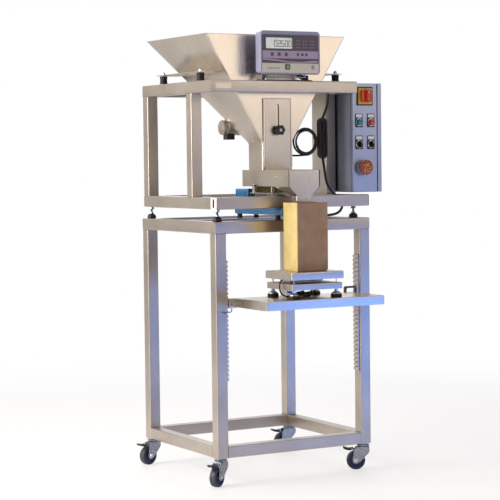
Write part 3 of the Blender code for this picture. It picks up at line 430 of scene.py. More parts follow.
def addRing(bm, low, high, width):  # four tubes mitred into a flat frame
    (x0, y0, z0), (x1, y1, z1) = low, high
    addTube(bm, (x0, y0, z0), (x1, y0 + width, z1), (1, 0, 0),
            (((x0, y0, z0), (-1, 1, 0)), ((x1, y0, z0), (1, 1, 0))))
    addTube(bm, (x0, y1 - width, z0), (x1, y1, z1), (1, 0, 0),
            (((x0, y1, z0), (-1, -1, 0)), ((x1, y1, z0), (1, -1, 0))))
    addTube(bm, (x0, y0, z0), (x0 + width, y1, z1), (0, 1, 0),
            (((x0, y0, z0), (1, -1, 0)), ((x0, y1, z0), (1, 1, 0))))
    addTube(bm, (x1 - width, y0, z0), (x1, y1, z1), (0, 1, 0),
            (((x1, y0, z0), (-1, -1, 0)), ((x1, y1, z0), (-1, 1, 0))))


def addBead(bm, start, end, slot=1):  # a fillet with its ripples, half sunk in the corner
    start, end = Vector(start), Vector(end)
    count = max(6, int((end - start).length / 0.0016))
    route = [start.lerp(end, i / count) for i in range(count + 1)]
    ripple = tubeFrame["bead"]
    addWire(bm, route, lambda t: ripple * (0.86 + 0.14 * math.cos(count * 1.9 * t)), 8, slot)


def makeStand():
    legs = span("stand_legs")
    width, depth, top = legs[1].x, legs[1].y, legs[1].z
    tube = span("stand_top_ring")[1].z - span("stand_top_ring")[0].z
    bm = newMesh()
    for x in (0, width - tube):
        for y in (0, depth - tube):
            addTube(bm, (x, y, 0), (x + tube, y + tube, top), (0, 0, 1))
    for y in (0, depth - tube):
        addTube(bm, (tube, y + 0.0002, 0.0003), (width - tube, y + tube - 0.0002, tube), (1, 0, 0))
        for x in (tube, width - tube):
            addBead(bm, (x, y + 0.003, tube), (x, y + tube - 0.003, tube))
    for x in (0, width - tube):
        addTube(bm, (x + 0.0002, tube, 0.0003), (x + tube - 0.0002, depth - tube, tube), (0, 1, 0))
        for y in (tube, depth - tube):
            addBead(bm, (x + 0.003, y, tube), (x + tube - 0.003, y, tube))
            addBead(bm, (x + (tube if x == 0 else 0), y, 0.002), (x + (tube if x == 0 else 0), y, tube))
    for x in (0, width - tube):  # plates that the casters' stems screw into
        for y in (0, depth - tube):
            addBlock(bm, (x + 0.003, y + 0.003, -0.0002), (x + tube - 0.003, y + tube - 0.003, 0.003),
                     0.0004)
    finishPiece("standLegs", bm, "machine", ("tube", "weld"), ("stand_legs",))

    low, high = span("stand_top_ring")
    bm = newMesh()
    addRing(bm, (0, 0, low.z), (width, depth, high.z), tube)
    crossY = span("drive_base")[1].y - 0.038
    addTube(bm, (tube, crossY, low.z + 0.001), (width - tube, crossY + tube, high.z - 0.001), (1, 0, 0))
    for x in (tube, width - tube):
        addBead(bm, (x, crossY, low.z + 0.003), (x, crossY, high.z - 0.002))
        addBead(bm, (x, crossY + tube, low.z + 0.003), (x, crossY + tube, high.z - 0.002))
        for y in (0, depth):  # where the ring sits on the legs
            addBead(bm, (x, abs(y - 0.003), low.z), (x, abs(y - tube + 0.003), low.z))
    finishPiece("standTopRing", bm, "machine", ("tube", "weld"), ("stand_top_ring",))


upperFrame = {"postY": 0.160, "widePost": 0.095}


def makeUpperFrame():
    base, cage = span("upper_base_ring"), span("upper_cage")
    low, high = base[0], base[1]
    tube = high.z - low.z
    right, back, front = cage[1].x, cage[1].y, low.y + tube
    bm = newMesh()
    addTube(bm, (0, low.y, low.z), (high.x, front, high.z), (1, 0, 0))
    addTube(bm, (0.0002, front, low.z + 0.0002), (tube, back, high.z - 0.0002), (0, 1, 0),
            (((0, back, low.z), (1, 1, 0)),))
    addTube(bm, (right - tube, front, low.z + 0.0002), (right - 0.0002, back, high.z - 0.0002),
            (0, 1, 0),
            (((right, back, low.z), (-1, 1, 0)),))
    addTube(bm, (0, back - tube, low.z), (right, back, high.z), (1, 0, 0),
            (((0, back, low.z), (-1, -1, 0)), ((right, back, low.z), (1, -1, 0))))
    for x in (tube, right - tube):
        addBead(bm, (x, front, low.z + 0.002), (x, front, high.z - 0.002))
    addBead(bm, (0.003, front, high.z), (tube - 0.003, front, high.z))
    finishPiece("upperBaseRing", bm, "machine", ("tube", "weld"), ("upper_base_ring",))

    foot, ring, cageFront = high.z, cage[1].z - tube, cage[0].y
    postY, widePost = upperFrame["postY"], upperFrame["widePost"]
    bm = newMesh()
    for x, y, depth in ((0, back - tube, tube), (right - tube, back - tube, tube), (0, postY, tube),
                        (right - tube, postY, widePost)):
        addTube(bm, (x + 0.0002, y + 0.0002, foot), (x + tube - 0.0002, y + depth - 0.0002, ring),
                (0, 0, 1))
        for z in (foot, ring):
            for edgeY in (y, y + depth):
                addBead(bm, (x + 0.003, edgeY, z), (x + tube - 0.003, edgeY, z))
    addRing(bm, (0, cageFront, ring), (right, back, cage[1].z), tube)
    plate = facing(0.047, cageFront, ring + tube / 2, (0, -1, 0))
    addOutline(bm, roundedRect(-0.030, -0.0095, 0.030, 0.0095, 0.0015, 3), 0.0010, plate, 0.0003, 1, 2)
    for dx in (-0.0265, 0.0265):
        addScrew(bm, plate @ Matrix.Translation((dx, 0, 0.0003)), 0.0014, 2)
    finishPiece("upperCage", bm, "machine", ("tube", "weld", "sheet"), ("upper_cage",))


endPlug = {"corner": 0.004}


def makeEndPlugs():
    # the right plug is made black where only its shaded end shows, as painted shade; the left plug is white
    for side, keys, out in (("left", ("white", "gloss"), -1), ("right", ("black", "gloss"), 1)):
        low, high = span("end_plug_" + side)
        faceX = low.x if out < 0 else high.x
        y, z, half = (low.y + high.y) / 2, (low.z + high.z) / 2, (high.y - low.y) / 2
        place = facing(faceX - out * 0.0022, y, z, (out, 0, 0))
        bm = newMesh()
        addOutline(bm, roundedRect(-half, -half, half, half, endPlug["corner"]), 0.0036, place, 0.0012,
                   3)
        addOutline(bm, roundedRect(-0.0062, -0.0150, 0.0062, 0.0150, 0.003, 5), 0.0010,
                   facing(faceX - out * 0.0006, y, z, (out, 0, 0)), 0.0002, 1, 1)
        inner = half - 0.002
        near, far = sorted((faceX - out * 0.0035, faceX - out * 0.0160))
        addBlock(bm, (near, y - inner, z - inner), (far, y + inner, z + inner), 0.001)
        finishPiece("endPlug" + side.title(), bm, "machine", keys, ("end_plug_" + side,))


levellingFoot = {"stem": 0.0042, "pitch": 0.0015, "dome": 0.0155}


def makeLevellingFeet():
    for corner in ("fl", "fr", "bl", "br"):
        low, high = span("frame_foot_" + corner)
        x, y = (low.x + high.x) / 2, (low.y + high.y) / 2
        place = Matrix.Translation((x, y, low.z))
        tall = high.z - low.z
        bm = newMesh()
        thread = [(0, tall)]
        z = tall
        while z > 0.019:
            thread += [(levellingFoot["stem"], z - 0.0003), (levellingFoot["stem"] - 0.0006, z - 0.0009)]
            z -= levellingFoot["pitch"]
        addTurned(bm, thread + [(0.0036, 0.015), (0, 0.015)], place, 20, 0)
        addHexBolt(bm, place @ Matrix.Translation((0, 0, tall - 0.0075)), 0.015, 0.006, 0)
        addHexBolt(bm, place @ Matrix.Translation((0, 0, 0.0165)), 0.013, 0.004, 0, washer=False)
        dome = levellingFoot["dome"]
        addTurned(bm, [(0, 0.0175), (0.006, 0.0172), (0.0068, 0.0160), (0.0105, 0.0145),
                       (0.0135, 0.0115),
                       (dome, 0.0065), (dome, 0.0040), (dome - 0.0012, 0.0036), (dome - 0.0012, 0.0028),
                       (dome, 0.0024), (dome - 0.0006, 0), (0, 0)], place, 32, 1)
        finishPiece("levellingFoot" + corner.upper(), bm, "machine", ("zinc", "black"),
                    ("frame_foot_" + corner,))


# casters
caster = {"trail": 0.026, "wheelRadius": 0.0325, "wheelHalf": 0.012, "forkHalf": 0.0163,
          "forkSheet": 0.0025,
          "turn": {"fl": 211, "bl": 196, "fr": 150, "br": 172}}


def makeCasters():
    legs = span("stand_legs")[1]
    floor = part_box("caster_wheel_fl")[0].z - origin.z
    spots = {"fl": (0.02, 0.02), "fr": (legs.x - 0.02, 0.02), "bl": (0.02, legs.y - 0.02),
             "br": (legs.x - 0.02, legs.y - 0.02)}
    for corner, (x, y) in spots.items():
        stand = Matrix.Translation((x, y,
                                    floor)) @ Matrix.Rotation(math.radians(caster["turn"][corner]), 4,
                                                              "Z")
        makeFork(corner, stand)
        makeWheel(corner, stand)
        makePedal(corner, stand)


def makeFork(corner, stand):
    trail, radius, half = caster["trail"], caster["wheelRadius"], caster["forkHalf"]
    bm = newMesh()
    # the stem's flange, the raceways with their gap, and the pressed head
    addTurned(bm, [(0, 0.0918), (0.0165, 0.0918), (0.0172, 0.0908), (0.0172, 0.0892), (0.0140, 0.0886),
                   (0.0140, 0.0878), (0.0205, 0.0874), (0.0218, 0.0860), (0.0218, 0.0838),
                   (0.0198, 0.0820),
                   (0.0172, 0.0800), (0, 0.0800)], stand, 40)
    side = [(-0.0205, 0.0800), (-0.0212, 0.0640), (-0.0160, 0.0560), (0.0120, 0.0265)]
    side += arc(trail, radius, 0.0118, 215, 375, 9)
    side += [(0.0345, 0.0560), (0.0330, 0.0700), (0.0215, 0.0800)]
    for out in (-1, 1):
        place = (stand @ Matrix.Translation((0, out * (half - 0.0012), 0))
                 @ Matrix.Rotation(math.pi / 2, 4, "X"))
        addOutline(bm, side, caster["forkSheet"], place, 0.0007, 2)
        hub = stand @ Matrix.Translation((trail, out * half, radius))
        hub = hub @ Matrix.Rotation(-out * math.pi / 2, 4, "X")
        addHexBolt(bm, hub, 0.010, 0.0016, 1)
    addBlock(bm, (-0.0208, 0.0012 - half, 0.0775), (0.0218, half - 0.0012, 0.0802), 0.0010, place=stand)
    finishPiece("casterFork" + corner.upper(), bm, "caster_" + corner, ("zinc", "chrome"),
                ("caster_fork_" + corner,))


def makeWheel(corner, stand):
    radius, half = caster["wheelRadius"], caster["wheelHalf"]
    place = (stand @ Matrix.Translation((caster["trail"], 0, radius))
             @ Matrix.Rotation(math.pi / 2, 4, "X"))
    bm = newMesh()
    tread = [(0.0248, half - 0.0006), (0.0282, half - 0.0002)]
    tread += arc(radius - 0.0042, half - 0.0044, 0.0042, 78, 4, 5)
    tread += [(radius, 0)]
    tread += [(r, -z) for r, z in reversed(tread[:-1])]
    addTurned(bm, tread, place, 56, 0)
    disc = [(0.0042, half - 0.0002), (0.0096, half - 0.0002), (0.0106, half - 0.0012),
            (0.0118, half - 0.0040),
            (0.0215, half - 0.0040), (0.0228, half - 0.0014), (0.0248, half - 0.0006)]
    for out in (1, -1):
        addTurned(bm, [(r, out * z) for r, z in disc], place, 48, 1)
        for spoke in range(5):  # ribs between the hub and the rim
            turn = place @ Matrix.Rotation(math.tau * spoke / 5 + 0.3, 4, "Z")
            addBlock(bm, (0.0108, -0.0012, min(out * 0.0078, out * 0.0098)),
                     (0.0222, 0.0012, max(out * 0.0078, out * 0.0098)), 0.0004, slot=1, place=turn)
        addTurned(bm, [(0.0042, out * (half + 0.0006)), (0.0078, out * (half + 0.0006)),
                       (0.0090, out * (half - 0.0006))], place, 28, 2)
    addTurned(bm, [(0.0042, half + 0.0006), (0.0042, -half - 0.0006)], place, 20, 2)
    finishPiece("casterWheel" + corner.upper(), bm, "wheel_" + corner, ("tread", "hub", "chrome"),
                ("caster_wheel_" + corner,))


def makePedal(corner, stand):
    bm = newMesh()
    outlinePoints = [(0.0345, 0.0690), (0.0500, 0.0672), (0.0620, 0.0700), (0.0690, 0.0740),
                     (0.0712, 0.0780),
                     (0.0700, 0.0795), (0.0665, 0.0790), (0.0600, 0.0760), (0.0510, 0.0742),
                     (0.0345, 0.0765)]
    place = stand @ Matrix.Rotation(math.pi / 2, 4, "X")
    addOutline(bm, outlinePoints, 0.0236, place, 0.0014, 3)
    for rib in range(4):
        x = 0.0525 + rib * 0.0042
        z = 0.0748 + rib * 0.0012
        addBlock(bm, (x, -0.0100, z - 0.001), (x + 0.0016, 0.0100, z + 0.0010), 0.0004, place=stand)
    for out in (-1, 1):
        addTurned(bm, [(0, 0.0008), (0.0026, 0.0007), (0.0030, 0.0003), (0.0030, 0), (0, 0)],
                  stand @ Matrix.Translation((0.0390, out * 0.0116, 0.0720))
                  @ Matrix.Rotation(-out * math.pi / 2, 4, "X"), 20, 1)
    finishPiece("casterPedal" + corner.upper(), bm, "brake_" + corner, ("black", "zinc"),
                ("caster_brake_" + corner,))


makeStand()
makeUpperFrame()
makeEndPlugs()
makeLevellingFeet()
makeCasters()
for side in ("left", "right"):
    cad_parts["shelf_rack_" + side].data.materials.clear()
    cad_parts["shelf_rack_" + side].data.materials.append(finishes["rack"])
print("stand, cage and casters made")


# folded sheet shapes
def addPan(bm, low, high, sheet, radius=0.003, slot=0, along=(1, 0, 0)):  # a tray turned upside down
    low, high = Vector(low), Vector(high)
    loose = newMesh()
    bmesh.ops.create_cube(loose, size=1, matrix=Matrix.Translation((low + high) / 2)
                          @ Matrix.Diagonal((*(high - low), 1)))
    upper = [e for e in loose.edges if max(v.co.z for v in e.verts) > low.z + 0.0001]
    bmesh.ops.bevel(loose, geom=upper, offset=radius, segments=3, profile=0.5, affect="EDGES")
    floor = [f for f in loose.faces if max(v.co.z for v in f.verts) < low.z + 0.0001]
    bmesh.ops.delete(loose, geom=floor, context="FACES")
    rim = [tuple(e.verts) for e in loose.edges if e.is_boundary]
    middle, size = (low + high) / 2, high - low
    shrink = Vector(((size.x - 2 * sheet) / size.x, (size.y - 2 * sheet) / size.y,
                     (size.z - sheet) / size.z))
    inner = {v: loose.verts.new((middle.x + (v.co.x - middle.x) * shrink.x, middle.y
                                 + (v.co.y - middle.y)
                                 * shrink.y, low.z + (v.co.z - low.z) * shrink.z))
                                 for v in loose.verts[:]}
    for face in loose.faces[:]:
        loose.faces.new([inner[v] for v in reversed(face.verts)])
    for a, b in rim:
        loose.faces.new((a, b, inner[b], inner[a]))
    bmesh.ops.recalc_face_normals(loose, faces=loose.faces)
    dress(loose, set(), slot, along)
    pour(loose, bm)


def addDuct(bm, levels, sheet, slot=0, along=(0, 0, 1)):  # a four sided chute through the given levels
    before = set(bm.faces)
    outer, inner = [], []
    for x0, y0, x1, y1, z, radius in levels:
        outer.append([bm.verts.new((x, y, z)) for x, y in roundedRect(x0, y0, x1, y1, radius, 4)])
        inside = roundedRect(x0 + sheet, y0 + sheet, x1 - sheet, y1 - sheet,
                             max(radius - sheet, 0.0005), 4)
        inner.append([bm.verts.new((x, y, z)) for x, y in inside])
    count = len(outer[0])
    rings = outer + inner[::-1]
    for a, b in zip(rings, rings[1:] + rings[:1]):
        for k in range(count):
            bm.faces.new((a[k], a[(k + 1) % count], b[(k + 1) % count], b[k]))
    dress(bm, before, slot, along)


def flat(y):  # a frame for outlines that face the operator: X stays across, their Y is up
    return Matrix.Translation((0, y, 0)) @ Matrix.Rotation(math.pi / 2, 4, "X")


# shelf, scale and bag
shelf = {"sheet": 0.002, "bend": 0.003, "left": 0.072, "right": 0.527, "front": -0.205, "back": 0.003,
         "top": 0.5315, "apron": 0.030}


def makeShelf():
    top = shelf["top"]
    bm = newMesh()
    addPan(bm, (shelf["left"], shelf["front"], top - shelf["apron"]),
           (shelf["right"], shelf["back"], top),
           shelf["sheet"], shelf["bend"])
    for x in (shelf["left"], shelf["right"]):  # closed corner seams, ground nearly flush
        addBead(bm, (x + (0.0019 if x < 0.3 else -0.0019), shelf["front"] + 0.0019, top - 0.029),
                (x + (0.0019 if x < 0.3 else -0.0019), shelf["front"] + 0.0019, top - 0.004))
    addBlock(bm, (0.0494, 0.0020, 0.4977), (0.0794, 0.0298, 0.5303), 0.0016, 3, 0)
    addBlock(bm, (0.5148, 0.0020, 0.4977), (0.5544, 0.0298, 0.5148), 0.0016, 3, 0)
    for x0, x1, z in ((0.0740, 0.0790, 0.5010), (0.5150, 0.5260, 0.5010)):
        addBead(bm, (x0, 0.0040, z), (x1, 0.0040, z))
    for x, z in ((0.0575, 0.5215), (0.0575, 0.5065), (0.5350, 0.5065)):
        addScrew(bm, facing(x, 0.0021, z, (0, -1, 0)) @ Matrix.Translation((0, 0, -0.0006)), 0.0032, 2)
    finishPiece("shelfTray", bm, "shelf", ("bright", "weld", "zinc"), ("shelf_tray",))

    low, high = span("shelf_lock_lever")
    bm = newMesh()
    pin = (0.0664, 0.0170)
    route = smoothRoute([(*pin, high.z), (*pin, high.z - 0.009),
                         (pin[0] - 0.007, pin[1] - 0.005, low.z + 0.0028),
                         (pin[0] - 0.016, pin[1] - 0.011, low.z + 0.0024),
                         (0.0275, -0.0092, low.z + 0.0023)], 6)
    addWire(bm, route, 0.0020, 12)
    addTurned(bm, [(0, 0.0024), (0.0022, 0.0020), (0.0026, 0.0008), (0.0026, -0.0018), (0.0016, -0.0024),
                   (0, -0.0024)], facing(0.0284, -0.0088, low.z + 0.0026, (-0.8, -0.6, 0)), 16, 1)
    finishPiece("shelfLockLever", bm, "lock_lever", ("zinc", "black"), ("shelf_lock_lever",))

    low, high = span("shelf_handle")
    bm = newMesh()
    outer = roundedRect(low.x, low.z, high.x, high.z, 0.006, 6)
    hole = roundedRect(low.x + 0.009, low.z + 0.010, high.x - 0.009, low.z + 0.028, 0.004, 5)
    addOutline(bm, outer, high.y - low.y, flat((low.y + high.y) / 2), 0.0016, 3, 0, (1, 0, 0), (hole,))
    finishPiece("shelfHandle", bm, "lift_handle", ("bronzed",), ("shelf_handle",))


scale = {"sheet": 0.0015, "panBend": 0.004, "baseBend": 0.003}


def makeScale():
    low, high = span("scale_pan")
    bm = newMesh()
    addPan(bm, low, high, scale["sheet"], scale["panBend"])
    finishPiece("scalePan", bm, "shelf", ("bright",), ("scale_pan",))

    low, high = span("load_cell")
    y = (low.y + high.y) / 2
    bm = newMesh()
    addBlock(bm, (low.x + 0.0001, y - 0.0148, low.z + 0.0027),
             (high.x - 0.0001, y + 0.0148, high.z - 0.0072), 0.0010)
    addBlock(bm, (low.x + 0.0022, y - 0.0126, low.z + 0.0002),
             (low.x + 0.036, y + 0.0126, low.z + 0.0032), 0.0006)
    addBlock(bm, (high.x - 0.036, y - 0.0290, high.z - 0.0080),
             (high.x - 0.0024, y + 0.0290, high.z - 0.0002), 0.0008)
    middle = (low.x + high.x) / 2
    z = (low.z + high.z) / 2 - 0.0023
    for side in (-1, 1):  # the blind bores of the flexures and the strain gauge's sealant
        for x in (middle - 0.021, middle + 0.021):
            addTurned(bm, [(0.0102, 0.0003), (0.0112, 0.0002), (0.0112, -0.0005), (0.0102, -0.0005)],
                      facing(x, y + side * 0.0149, z, (0, side, 0)), 28, 2)
            addTurned(bm, [(0, 0.0001), (0.0100, 0.0001)],
                      facing(x, y + side * 0.0149, z, (0, side, 0)), 28, 1)
        addBlock(bm, (middle - 0.020, min(y + side * 0.0146, y + side * 0.0151), z - 0.006),
                 (middle + 0.020, max(y + side * 0.0146, y + side * 0.0151), z + 0.006), 0.0002, slot=1)
    for x in (high.x - 0.028, high.x - 0.011):
        for dy in (-0.008, 0.008):
            addHexBolt(bm, Matrix.Translation((x, y + dy, high.z - 0.0192))
                       @ Matrix.Rotation(math.pi, 4, "X"),
                       0.006, 0.0030, 2, washer=False)
    finishPiece("loadCell", bm, "shelf", ("aluminium", "rubber", "zinc"), ("load_cell",))

    low, high = span("scale_base")
    bm = newMesh()
    addPan(bm, (low.x, low.y, 0.560), high, scale["sheet"], scale["baseBend"])
    for x, y in ((low.x + 0.015, low.y + 0.015), (high.x - 0.015, low.y + 0.015),
                 (low.x + 0.015, high.y - 0.015), (high.x - 0.015, high.y - 0.015)):
        place = Matrix.Translation((x, y, low.z))
        addTurned(bm, [(0, 0.0280), (0.0048, 0.0280), (0.0048, 0.0192), (0.0068, 0.0188),
                       (0.0105, 0.0174),
                       (0.0140, 0.0148), (0.0154, 0.0122), (0.0154, 0.0108), (0, 0.0108)], place, 40, 1)
        addTurned(bm, [(0, 0.0112), (0.0166, 0.0112), (0.0182, 0.0096), (0.0189, 0.0070),
                       (0.0189, 0.0012),
                       (0.0182, 0.0001), (0, 0.0001)], place, 40, 2)
        addTurned(bm, [(0, 0.0590), (0.0026, 0.0590), (0.0032, 0.0584), (0.0032, 0.0562),
                       (0.0021, 0.0560),
                       (0.0021, 0.0485), (0, 0.0485)], place, 20, 1)
        addHexBolt(bm, place @ Matrix.Translation((0, 0, 0.0192)), 0.014, 0.0045, 1, washer=False)
    for x in (low.x + 0.062, high.x - 0.062):  # overload stops beneath the pan's corners
        addTurned(bm, [(0, 0.0002), (0.0035, 0.0002), (0.0045, -0.0004), (0.0045, -0.0012),
                       (0, -0.0012)],
                  Matrix.Translation((x, low.y + 0.006, high.z)), 20, 2)
    finishPiece("scaleBase", bm, "shelf", ("sheet", "chrome", "rubber"), ("scale_base",))


bag = {"gusset": 0.0075, "bulge": 0.0016, "paper": 0.0003, "levels": 34, "pink": 0.0014,
       "creaseAt": (0.30, 0.62)}


def makeBag():
    low, high = span("paper_bag")
    middle, size = (low + high) / 2, high - low
    footprint = roundedRect(-size.x / 2 + 0.0004, -size.y / 2 + 0.0004, size.x / 2 - 0.0004,
                            size.y / 2 - 0.0004,
                         0.0035, 4)
    loop = []  # the mouth walked in short steps, so that folds have points to bend at
    for a, b in zip(footprint, footprint[1:] + footprint[:1]):
        steps = max(1, round(math.dist(a, b) / 0.0045))
        loop += [(a[0] + (b[0] - a[0]) * i / steps, a[1] + (b[1] - a[1]) * i / steps)
                 for i in range(steps)]
    if len(loop) % 2:
        loop.pop(1)

    def place(x, y, t, z, skin):
        acrossX, acrossY = x / (size.x / 2), y / (size.y / 2)
        rise = min(1, max(0, (t - 0.12) / 0.55))
        rise = rise * rise * (3 - 2 * rise)
        tuck = bag["gusset"] * rise * max(0, 1 - abs(acrossY) * 1.12) if abs(acrossX) > 0.93 else 0
        swell = bag["bulge"] * (0.5 + 0.5 * math.sin(7.1 * t + 2.3 * acrossX)) * (1 - acrossX ** 2)
        dent = 0.0014 * math.sin(19 * t + 5 * acrossX) * math.sin(math.pi * t) * (1 - acrossX ** 4)
        for crease in bag["creaseAt"]:  # flat-packed folds that never quite came out
            dent += 0.0012 * math.exp(-((t - crease - 0.03 * acrossX) / 0.012) ** 2)
        footTuck = 0.0030 * max(0, 1 - t / 0.03) ** 2
        x -= math.copysign(tuck + footTuck + skin + (dent * 0.5 + 0.0006) * (abs(acrossX) > 0.93), x)
        if abs(acrossY) > 0.93:
            y -= math.copysign(0.0019 - swell + max(dent, 0) + footTuck + skin, y)
        else:
            y -= y * (footTuck + skin) / (size.y / 2)
        lean = 0.0006 * math.sin(3 * t)
        return middle.x + x + lean, middle.y + y, z

    def skinRings(bm, skin):
        rings = []
        for level in range(bag["levels"] + 1):
            t = level / bag["levels"]
            ring = []
            for k, (x, y) in enumerate(loop):
                z = low.z + 0.0003 + skin + (size.z - 0.0005 - skin) * t
                if level == bag["levels"]:
                    z -= bag["pink"] * (k % 2) + 0.0010 * (1
                                                           + math.sin(2.2 * k / len(loop) * math.tau)) * 0.5
                ring.append(bm.verts.new(place(x, y, t, z, skin)))
            rings.append(ring)
        return rings

    bm = newMesh()
    outer, inner = skinRings(bm, 0), skinRings(bm, bag["paper"])
    count = len(loop)
    rings = outer + inner[::-1]
    for a, b in zip(rings, rings[1:]):
        for k in range(count):
            bm.faces.new((a[k], a[(k + 1) % count], b[(k + 1) % count], b[k]))
    bm.faces.new(outer[0][::-1])
    bm.faces.new(inner[0])
    dress(bm, set(), 0, (0, 0, 1))
    # the folded bottom's flap, seen as a line near the foot of the front, and the back's glued seam
    addOutline(bm, [(low.x + 0.004, low.z + 0.0012), (high.x - 0.004, low.z + 0.0012),
                    (high.x - 0.013, low.z + 0.0125), (low.x + 0.013, low.z + 0.0125)], 0.0003,
               flat(low.y + 0.0009), 0)
    addBlock(bm, (middle.x + 0.012, high.y - 0.0016, low.z + 0.004),
             (middle.x + 0.026, high.y - 0.0012, high.z - 0.003), 0)
    for face in bm.faces:  # the gusseted sides get a paler, yellower copy of the same paper as painted light from the left lamp; the front keeps a darker copy as painted shade
        face.material_index = 1 if abs(face.normal.x) > 0.6 else 0
    finishPiece("kraftBag", bm, "bag", ("kraft", "kraftPaintedLitSide"), ("paper_bag",), angle=38)


makeShelf()
makeScale()
makeBag()
print("shelf, scale and bag made")

# hopper, gate and its vibration motor
hopper = {"sheet": 0.0015, "bend": 0.004, "rim": (0.014, 0.075, 0.556, 0.517),
          "throat": (0.225, 0.075, 0.3415, 0.172),
          "rimZ": 1.407, "bendZ": 1.045, "endZ": 0.931, "hem": 0.011, "earTop": 1.2838,
          "mounts": {"fl": (0.020, 0.128), "bl": (0.020, 0.402), "fr": (0.551, 0.128),
                     "br": (0.551, 0.402)}}


def wallAt(z):  # how far the hopper's four walls stand at a height, as x0, y0, x1, y1
    t = (z - hopper["bendZ"]) / (hopper["rimZ"] - hopper["bendZ"])
    return [a + (b - a) * t for a, b in zip(hopper["throat"], hopper["rim"])]


def makeHopper():
    bend = hopper["bend"]
    levels = [(*hopper["rim"], hopper["rimZ"] + 0.0015, bend),
              (*wallAt(hopper["rimZ"] - 0.002), hopper["rimZ"] - 0.002, bend)]
    levels += [(*wallAt(z), z, bend) for z in (hopper["rimZ"] - 0.05, 1.2, hopper["bendZ"] + 0.006)]
    levels += [(*hopper["throat"], z, bend) for z in (hopper["bendZ"] - 0.004, 0.99, hopper["endZ"])]
    bm = newMesh()
    addDuct(bm, levels, hopper["sheet"])
    x0, y0, x1, y1 = wallAt(hopper["rimZ"] - hopper["hem"])
    rimX0, rimY0, rimX1, rimY1 = hopper["rim"]
    hem = [(rimX0 + 0.0009, rimY0 + 0.0009), (rimX1 - 0.0009, rimY0 + 0.0009),
           (rimX1 - 0.0009, rimY1 - 0.0009),
           (rimX0 + 0.0009, rimY1 - 0.0009)]
    for (ax, ay), (bx, by) in zip(hem, hem[1:] + hem[:1]):  # the sheet's edge folded back on itself
        addWire(bm, [(ax, ay, hopper["rimZ"] - 0.0001), (bx, by, hopper["rimZ"] - 0.0001)], 0.0014, 10)
    t = hopper["throat"]
    for bx, by, top in ((t[0], t[1], (x0, y0)), (t[2], t[1], (x1, y0)), (t[0], t[3], (x0, y1)),
                        (t[2], t[3], (x1, y1))):
        inX, inY = (0.0022 if bx < 0.28 else -0.0022), (0.0022 if by < 0.1 else -0.0022)
        addBead(bm, (bx + inX, by + inY, hopper["bendZ"] + 0.004),
                (top[0] + inX, top[1] + inY, hopper["rimZ"] - hopper["hem"]), 1)
    for side in (0, 1):  # the two ears that carry it on its rubber mounts
        wall = wallAt(1.2825)
        x = (0.0004, wall[0] + 0.0022) if side == 0 else (wall[2] - 0.0022, 0.5706)
        addBlock(bm, (x[0], 0.1122, 1.2812), (x[1], 0.4198, hopper["earTop"]), 0.0008, 2, 0, (0, 1, 0))
        edge = wall[0] + 0.0006 if side == 0 else wall[2] - 0.0006
        addBead(bm, (edge, 0.118, 1.2840), (edge, 0.414, 1.2840), 1)
        for x, y in [spot for corner, spot in hopper["mounts"].items() if corner[1] == "lr"[side]]:
            addHexBolt(bm, Matrix.Translation((x, y, hopper["earTop"])), 0.013, 0.0055, 2)
            addWire(bm, [(x, y, 1.2890), (x, y, 1.2935)], 0.0038, 14, 2)
    for x0, x1 in ((0.2272, 0.2328), (0.3337, 0.3393)):  # slides for the gate
        addBlock(bm, (x0, 0.0697, 0.9622), (x1, 0.0756, 1.1948), 0.0007, 2, 0, (0, 0, 1))
        for z in (0.985, 1.170):
            addScrew(bm, facing((x0 + x1) / 2, 0.0697, z, (0, -1, 0))
                     @ Matrix.Translation((0, 0, -0.0012)), 0.0022, 2)
    finishPiece("hopperShell", bm, "machine", ("bright", "weld", "zinc"), ("hopper_shell",))

    for corner, (x, y) in hopper["mounts"].items():
        low, high = span("hopper_isolator_" + corner)
        tall = high.z - low.z
        bm = newMesh()
        ribs = [(0, tall - 0.0002), (0.0126, tall - 0.0004), (0.0132, tall - 0.0012)]
        ribs += [(0.0134 - 0.0012 * math.sin(math.pi * i / 10) ** 2,
                  tall - 0.0012 - (tall - 0.0024) * i / 10)
                 for i in range(1, 10)]
        ribs += [(0.0132, 0.0012), (0.0126, 0.0004), (0, 0.0002)]
        addTurned(bm, ribs, Matrix.Translation((x, y, low.z)), 32, 0)
        for z in (0.0001, tall - 0.0010):
            addTurned(bm, [(0, 0.0009), (0.0110, 0.0009), (0.0110, 0), (0, 0)],
                      Matrix.Translation((x, y, low.z + z)), 32, 1)
        finishPiece("hopperIsolator" + corner.upper(), bm, "machine", ("rubber", "zinc"),
                    ("hopper_isolator_" + corner,))


gate = {"face": 0.0720, "slot": (1.081, 1.175), "knobZ": 1.087, "knobRadius": 0.0166, "lobe": 0.0013}


